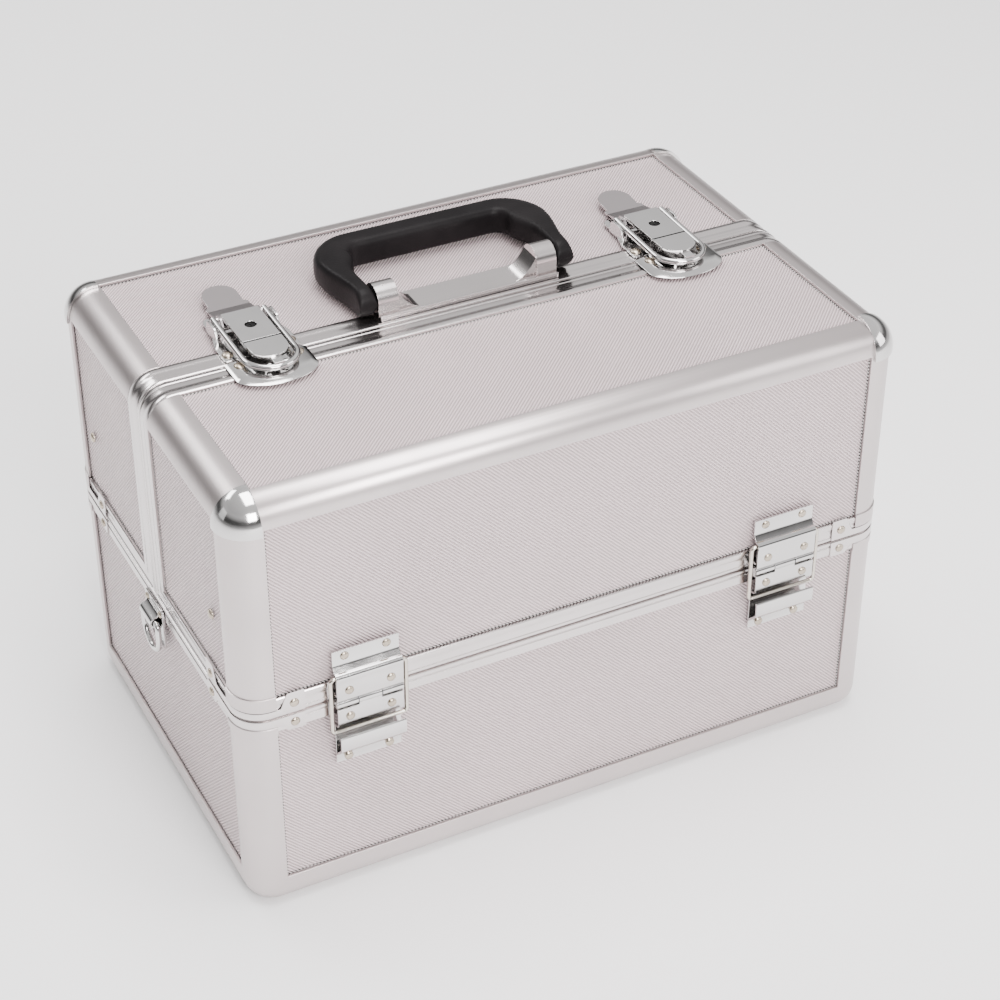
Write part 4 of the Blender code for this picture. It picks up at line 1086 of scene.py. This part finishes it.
def carrying_ring(end, hand):
    """A D-ring and the plate with the bent band that holds it."""
    face, z, y_half = HL + SEAT, 0.1105, 0.0110
    axis_x = face + 0.0036
    x, bow_z = end * axis_x, z - 0.0090
    path = [(x, 0.001 - y_half, z), (x, y_half - 0.001, z), (x, y_half, z - 0.0010)]
    path += [(x, py, pz) for py, pz in arc((0, bow_z), y_half, 0, -180, 24)]
    path.append((x, -y_half, z - 0.0010))
    piece(f"carry_ring_{hand}", wire(path, 0.0016, closed=True, sides=16), CHROME, f"d_ring_{hand}",
          (f"d_ring_{hand}",), smooth=60)

    y, low, high = 0.0125, 0.0955, 0.1195
    outline = rounded_outline([(-y, low), (y, low), (y, high), (-y, high)], 0.0024)
    back = sweep([((end * d, 0, 0), (0, 1, 0), (0, 0, 1)) for d in (face, face + 0.0013)], outline)
    cup = [(face + 0.0012, z + 0.0048), (axis_x - 0.0006, z + 0.0030)]
    cup += arc((axis_x, z), 0.0026, 70, -120, 8)
    cup.append((face + 0.0012, z - 0.0042))
    band = sweep([((0, d, 0), (end, 0, 0), (0, 0, 1)) for d in (-0.0080, 0.0080)], strip(cup, 0.0010))
    piece(f"ring_holder_{hand}", join(back, band), CHROME, "base", (f"ring_clip_{hand}",),
          soften=0.0002, limit=45)
    at_x, at_z = end * (face + 0.0013), 0.1160
    return [rivet((at_x, dy, at_z), (end, 0, 0), 0.0019, 0.0010) for dy in (-0.0092, 0.0092)]


# Trays and arms --------------------------------------------------------------------------------------


def tray(side, word, level):
    """A moulded tray: thick slotted long walls, ribbed dividers in their slots and screw heads."""
    near, far, low, high = TRAYS[level]
    t, thick, slot_w, slot_d = TRAY_T, 0.0050, 0.0024, 0.0024
    corners = [(-TRAY_HALF, near), (TRAY_HALF, near), (TRAY_HALF, far), (-TRAY_HALF, far)]
    body = plate(rounded_outline(corners, 0.003, 4), low, high)
    pitch = (2 * TRAY_HALF - t) / 4
    count = 6 * 4
    slots = [-pitch * 2 + pitch * 4 * i / count for i in range(1, count)]
    x_end = TRAY_HALF - t

    def slotted(way, wall, deep, places):
        """One long wall's inner outline, along +X or -X, with a notch at each slot."""
        run = [(-way * x_end, wall)]
        for cx in places:
            run += [(cx - way * slot_w / 2, wall), (cx - way * slot_w / 2, deep),
                    (cx + way * slot_w / 2, deep), (cx + way * slot_w / 2, wall)]
        return run + [(way * x_end, wall)]

    first, last = near + thick - slot_d, far - thick + slot_d
    room = slotted(1, near + thick, first, slots) + slotted(-1, far - thick, last, reversed(slots))
    shell = combined(body, [("DIFFERENCE", plate(room, low + t, high + 0.01))])
    parts = [tidy_edges(shell, 0.00035)]
    for index in (-1, 0, 1):
        parts += tray_divider(index * pitch, first + 0.0003, last - 0.0003, low + t + 0.0002, high - 0.0022)
    bm = join(*parts)
    if side < 0:
        bmesh.ops.transform(bm, matrix=Matrix.Diagonal((1, -1, 1, 1)), verts=bm.verts)
        bmesh.ops.reverse_faces(bm, faces=bm.faces)
    name = f"{word}_{level}_tray"
    piece(f"{name}_moulding", bm, TRAY, name, (name,), smooth=40, even=True)
    pins = ("long_lower", "short_lower", "link_lower") if level == "lower" else ("long_upper", "link_upper")
    at = arm_points(side)
    heads = [rivet((end * x_end, at[key].y, at[key].z), (-end, 0, 0), 0.0026, 0.0014)
             for end, _ in ENDS for key in pins]
    piece(f"{name}_screws", join(*heads), NICKEL, name, smooth=45)


def tray_divider(cx, near, far, low, high):
    """A thin cross wall with a thicker top bar, cut bottom corners and level ribs."""
    cut, bar_in, rib_in, rib_count = 0.004, 0.003, 0.0060, 8
    wall = [(near, low + cut), (near + cut, low), (far - cut, low), (far, low + cut), (far, high),
            (near, high)]
    parts = [tidy_edges(swept_x(wall, cx - 0.0007, cx + 0.0007), 0.0002, 1)]
    bar = [(near + bar_in, high - 0.0030), (far - bar_in, high - 0.0030), (far - bar_in, high),
           (near + bar_in, high)]
    parts.append(swept_x(rounded_outline(bar, [0, 0, 0.0008, 0.0008]), cx - 0.0011, cx + 0.0011))
    for index in range(rib_count):
        z = low + 0.0050 + index * (high - 0.0050 - low - 0.0050) / (rib_count - 1)
        rib_shape = [(near + rib_in, z), (near + rib_in, z + 0.0009), (far - rib_in, z + 0.0009),
                     (far - rib_in, z)]
        parts += [swept_x(rib_shape, cx + way * 0.0006, cx + way * 0.0012) for way in (-1, 1)]
    return parts


def arm_points(side):
    """The centres of the arms' pins at rest, by name."""
    def along(length):
        return Vector((0, -side * math.sin(TILT) * length, math.cos(TILT) * length))

    long_base, short_base = Vector((0, side * LONG_Y, PIN_Z)), Vector((0, side * SHORT_Y, PIN_Z))
    long_lower = long_base + along(LOWER_REACH)
    link_lower = long_lower + Vector((0, side * LINK_STEP, 0))
    return {
        "long_base": long_base, "long_lower": long_lower, "long_upper": long_base + along(LONG_REACH),
        "short_base": short_base, "short_lower": short_base + along(LOWER_REACH),
        "link_lower": link_lower, "link_upper": link_lower + along(LINK_REACH),
    }


def pin(at, end, start, stop):
    return cylinder((0, at.y, at.z), (1, 0, 0), PIN_R, end * start, end * stop, 16)


def flat_arm(start, stop, end, heads):
    """A flat bar with round ends, its pins and the domed heads that face the case wall."""
    run = stop - start
    way = run / run.length
    outline = arc((0, 0), ARM_HALF, 90, 270, 16) + arc((run.length, 0), ARM_HALF, -90, 90, 16)
    faces = sorted((end * ARM_IN, end * ARM_OUT))
    stations = [((x, start.y, start.z), way, (0, -way.z, way.y)) for x in faces]
    parts = [tidy_edges(sweep(stations, outline), 0.0004)]
    for head in heads:
        parts.append(pin(head, end, 0.1684, 0.1718))
        parts.append(rivet((end * ARM_OUT, head.y, head.z), (end, 0, 0), 0.0034, 0.0012))
    return parts


def tray_arms(side, word):
    """Both ends' long arms, short arms and upper links, with a rail pin under each arm."""
    at = arm_points(side)
    washer = [(0, -0.0003), (0.0036, -0.0003), (0.0035, 0.0008), (0.0022, 0.0014), (0, 0.0015)]
    bars = (("long", "long_base", "long_upper", ("long_lower", "long_upper"), "long_arm"),
            ("short", "short_base", "short_lower", ("short_lower",), "short_arm"),
            ("link", "link_lower", "link_upper", ("link_lower", "link_upper"), "upper_link"))
    for end, hand in ENDS:
        for name, start, stop, heads, node in bars:
            parts = flat_arm(at[start], at[stop], end, [at[head] for head in heads])
            if name != "link":
                base = at[start]
                parts.append(pin(base, end, 0.1715, 0.1768))
                parts.append(lathe((end * ARM_IN, base.y, base.z), (-end, 0, 0), washer, 20))
            piece(f"{word}_{name}_bar_{hand}", join(*parts), BRIGHT, f"{word}_{node}s",
                  (f"{word}_{node}_{hand}",), smooth=40)


def rail_plates():
    """The CAD's rails keep their shapes too."""
    for _, hand in ENDS:
        materials = NODES[f"arm_rail_{hand}"].data.materials
        materials.clear()
        materials.append(BRIGHT)


# Base padding ----------------------------------------------------------------------------------------


def channelled(distance, pitch, power):
    """A padded wall's fullness at a distance along it: one between sewn channels, none in them."""
    return abs(math.sin(math.pi * distance / pitch)) ** power


def base_liner():
    """The padded lining: walls quilted in upright channels, a rolled top edge and a floor pad."""
    x, y = LINER_X - LINER_T, LINER_Y - LINER_T
    track, total = spaced(round_walk(x, y, 0.006, 6), 0.0012, closed=True)
    pitch = total / round(total / CHANNEL_PITCH)
    wall = [  # heights, and the share of the bulge at each
        (LINER_LOW + 0.0060, 0.30), (LINER_LOW + 0.0075, 0.75), (LINER_LOW + 0.0110, 1.0),
        (0.055, 1.0), (0.100, 1.0), (0.1035, 0.80), (0.1050, 0.35),
    ]
    roll = [math.radians(angle) for angle in (-40, 0, 40, 80, 120, 160)]
    bm = bmesh.new()
    rows = []
    for point, out, distance in track:
        bulge = CHANNEL_DEPTH * channelled(distance, pitch, 0.45)
        section = [(bulge * share - 0.0006, z) for z, share in wall]
        section += [(0.0036 * 0.55 * math.cos(a) - 0.0022, 0.1083 + 0.0034 * math.sin(a)) for a in roll]
        section += [(-0.0066, 0.1100), (-0.0066, LINER_LOW + 0.0010)]
        rows.append([bm.verts.new((*(point - out * inward), z)) for inward, z in section])
    skin(bm, rows, closed=True)
    walls = piece("base_padding_walls", bm, LINER, "base", ("base_liner",), smooth=50)
    pad_floor(x - 0.0016, y - 0.0016)


def pad_floor(x, y):
    pad = swell(box((-x, x), (-y, y), (LINER_LOW + 0.0012, LINER_LOW + 0.0062)), 0.0040, 0.0012)
    for vert in pad.verts:
        vert.co.z = min(vert.co.z, LINER_LOW + LINER_T - 0.0002)
    bmesh.ops.subdivide_edges(pad, edges=pad.edges, cuts=1, use_grid_fill=True, smooth=0.5)
    return piece("base_floor_pad", pad, LINER, "base", smooth=70)


def swell(bm, voxel, cap):
    """Inflates a closed pad with a short cloth simulation and gives its new mesh."""
    frames = 14
    mesh = bpy.data.meshes.new("pad")
    bm.to_mesh(mesh)
    bm.free()
    obj = bpy.data.objects.new("pad", mesh)
    bpy.context.scene.collection.objects.link(obj)
    remesh = obj.modifiers.new("remesh", "REMESH")
    remesh.mode = "VOXEL"
    remesh.voxel_size = voxel
    graph = bpy.context.evaluated_depsgraph_get()
    graph.update()
    start = bpy.data.meshes.new_from_object(obj.evaluated_get(graph))
    obj.modifiers.clear()
    obj.data = start
    before = [v.co.copy() for v in start.vertices]
    cloth = obj.modifiers.new("cloth", "CLOTH")
    cloth.settings.use_pressure = True
    cloth.settings.uniform_pressure_force = 3.0
    cloth.settings.quality = 5
    cloth.settings.mass = 0.2
    cloth.settings.effector_weights.gravity = 0
    cloth.point_cache.frame_start = 1
    cloth.point_cache.frame_end = frames
    scene = bpy.context.scene
    for number in range(1, frames + 1):
        scene.frame_set(number)
    graph = bpy.context.evaluated_depsgraph_get()
    after = [v.co.copy() for v in obj.evaluated_get(graph).data.vertices]
    obj.modifiers.clear()
    scene.frame_set(1)
    for vert, old, new in zip(start.vertices, before, after):
        step = new - old
        if step.length > cap:
            step = step.normalized() * cap
        vert.co = old + step
    result = bmesh.new()
    result.from_mesh(start)
    bpy.data.objects.remove(obj, do_unlink=True)
    return result


def base_dividers():
    """The two padded dividers: swollen first, then drawn in at their sewn channels."""
    low, top, gap = LINER_LOW + LINER_T + SEAT, DIVIDER_TOP - 0.0024, 0.0030
    x, y = LINER_X - LINER_T - SEAT - gap, LINER_Y - LINER_T - SEAT - gap
    near, far = DIVIDER_X
    across = box((near + 0.0016, far - 0.0016), (-y, y), (low + 0.0006, top))
    along = box((-x, near - 0.0012), (-0.0034, 0.0034), (low + 0.0006, top))
    for name, bm, axis, middle in (("base_divider_cross", across, 1, (near + far) / 2),
                                   ("base_divider_long", along, 0, 0.0)):
        full = swell(bm, 0.0032, 0.0016)
        bmesh.ops.subdivide_edges(full, edges=full.edges, cuts=1, use_grid_fill=True, smooth=0.3)
        other = 1 - axis
        for vert in full.verts:
            slack = 1 - channelled(vert.co[axis], DIVIDER_PITCH, 0.6)
            vert.co[other] = middle + (vert.co[other] - middle) * (1 - 0.50 * slack)
            vert.co.z -= 0.0022 * slack * smooth_step((vert.co.z - 0.080) / 0.012)
            if axis == 0:
                vert.co.x = min(vert.co.x, near - 0.0006)
        pad = piece(f"{name}_pad", full, LINER, "base", (name,), smooth=70)


# Assembly --------------------------------------------------------------------------------------------


def build():
    panels()
    seam_strips()
    base_frame()
    base_rim()
    rail_plates()
    base_heads = []
    lid_heads = {"front": [], "rear": []}
    for side, word in SIDES:
        body = f"{word}_lid"
        lid_frame(side, word)
        lid_rim(side, word)
        lid_lining(side, word)
        for end, hand in ENDS:
            corner_cap(side, end, word)
            top, bottom = hinge(side, end, word, hand)
            lid_heads[word] += top
            base_heads += bottom
            lid_heads[word] += rim_corner(side, end, SPLIT_Z + SPLIT_GAP, 0.0125, 0.0042, 1, body, body)
            base_heads += rim_corner(
                side, end, SPLIT_Z - SPLIT_GAP, 0.0092, 0.0050, -1, f"{word}_base", "base")
            lid_heads[word].append(
                rivet((end * (HL - 0.0006), side * 0.085, 0.168), (end, 0, 0), 0.0027, 0.0014))
        for level in ("lower", "upper"):
            tray(side, word, level)
        tray_arms(side, word)
    for end, hand in ENDS:
        lid_heads["rear"] += latch(end, hand)
        lid_heads["front"] += keeper(end, hand)
        base_heads += carrying_ring(end, hand)
    handle_bracket()
    handle_grip()
    base_liner()
    base_dividers()
    rivets("base", "base", base_heads)
    for word in ("front", "rear"):
        rivets(f"{word}_lid", f"{word}_lid", lid_heads[word])


# Studio ----------------------------------------------------------------------------------------------


def floor():
    bm = bmesh.new()
    bmesh.ops.create_grid(bm, x_segments=1, y_segments=1, size=6)
    mesh = bpy.data.meshes.new("floor")
    bm.to_mesh(mesh)
    bm.free()
    obj = bpy.data.objects.new("floor", mesh)
    obj.location.z = -FLOOR_DROP
    look = Look("floor_paper", (0.93, 0.93, 0.93), 0.65)
    look.rough(look.spread(look.noise(3, 2), 0.6, 0.72))
    mesh.materials.append(look.material)
    bpy.context.scene.collection.objects.link(obj)


def area_light(name, place, aim, size, power, colour=(1, 1, 1)):
    light = bpy.data.lights.new(name, "AREA")
    light.shape = "RECTANGLE"
    light.size, light.size_y = size
    light.energy = power
    light.color = colour
    obj = bpy.data.objects.new(name, light)
    obj.location = place
    obj.rotation_euler = (Vector(aim) - Vector(place)).to_track_quat("-Z", "Y").to_euler()
    bpy.context.scene.collection.objects.link(obj)


def studio():
    """A grey room, dark near the horizon for the metal to reflect, and five soft lights."""
    world = bpy.data.worlds.new("studio")
    bpy.context.scene.world = world
    world.use_nodes = True
    tree = world.node_tree
    background = tree.nodes["Background"]
    coords = tree.nodes.new("ShaderNodeTexCoord")
    split = tree.nodes.new("ShaderNodeSeparateXYZ")
    ramp = tree.nodes.new("ShaderNodeValToRGB")
    first, last = ramp.color_ramp.elements
    first.position, first.color = 0.0, (0.75, 0.74, 0.74, 1)
    last.position, last.color = 1.0, (1.2, 1.18, 1.18, 1)
    for position, level in ((0.05, 0.55), (0.15, 0.13), (0.30, 0.17), (0.43, 0.80), (0.54, 1.20),
                            (0.66, 1.05)):
        stop = ramp.color_ramp.elements.new(position)
        stop.color = (level, level * 0.985, level * 0.985, 1)
    across = tree.nodes.new("ShaderNodeMath")
    across.operation = "MULTIPLY_ADD"
    across.inputs[1].default_value, across.inputs[2].default_value = 0.34, 0.88
    scaled = tree.nodes.new("ShaderNodeVectorMath")
    scaled.operation = "SCALE"
    for source, target in (
        (coords.outputs["Generated"], split.inputs[0]), (split.outputs["Z"], ramp.inputs[0]),
        (split.outputs["X"], across.inputs[0]), (ramp.outputs[0], scaled.inputs[0]),
        (across.outputs[0], scaled.inputs["Scale"]), (scaled.outputs[0], background.inputs[0]),
    ):
        tree.links.new(source, target)
    background.inputs[1].default_value = 1.0
    middle = (0, 0, 0.12)
    area_light("key", (-0.1, -2.0, 1.35), middle, (1.1, 0.9), 72, (1.0, 0.972, 0.97))
    area_light("fill", (1.7, -1.2, 0.9), middle, (1.0, 1.0), 16, (1.0, 0.98, 0.98))
    area_light("top", (0.1, 0.0, 2.1), middle, (1.6, 0.9), 60, (1.0, 0.98, 0.98))
    area_light("side", (-1.9, 0.4, 0.8), middle, (0.8, 0.8), 2)
    area_light("back", (-0.9, 1.7, 1.9), middle, (1.2, 0.6), 22)


def camera():
    data = bpy.data.cameras.new("camera")
    data.sensor_width = 36
    data.lens = 71.3 * 1.20
    obj = bpy.data.objects.new("camera", data)
    obj.location = (-0.464, -0.941, 0.857)
    aim = Vector((0.3716, 0.7303, -0.5732))
    obj.rotation_euler = aim.to_track_quat("-Z", "Y").to_euler()
    data.clip_start, data.clip_end = 0.01, 50
    bpy.context.scene.collection.objects.link(obj)
    bpy.context.scene.camera = obj


camera()
build()
floor()
studio()
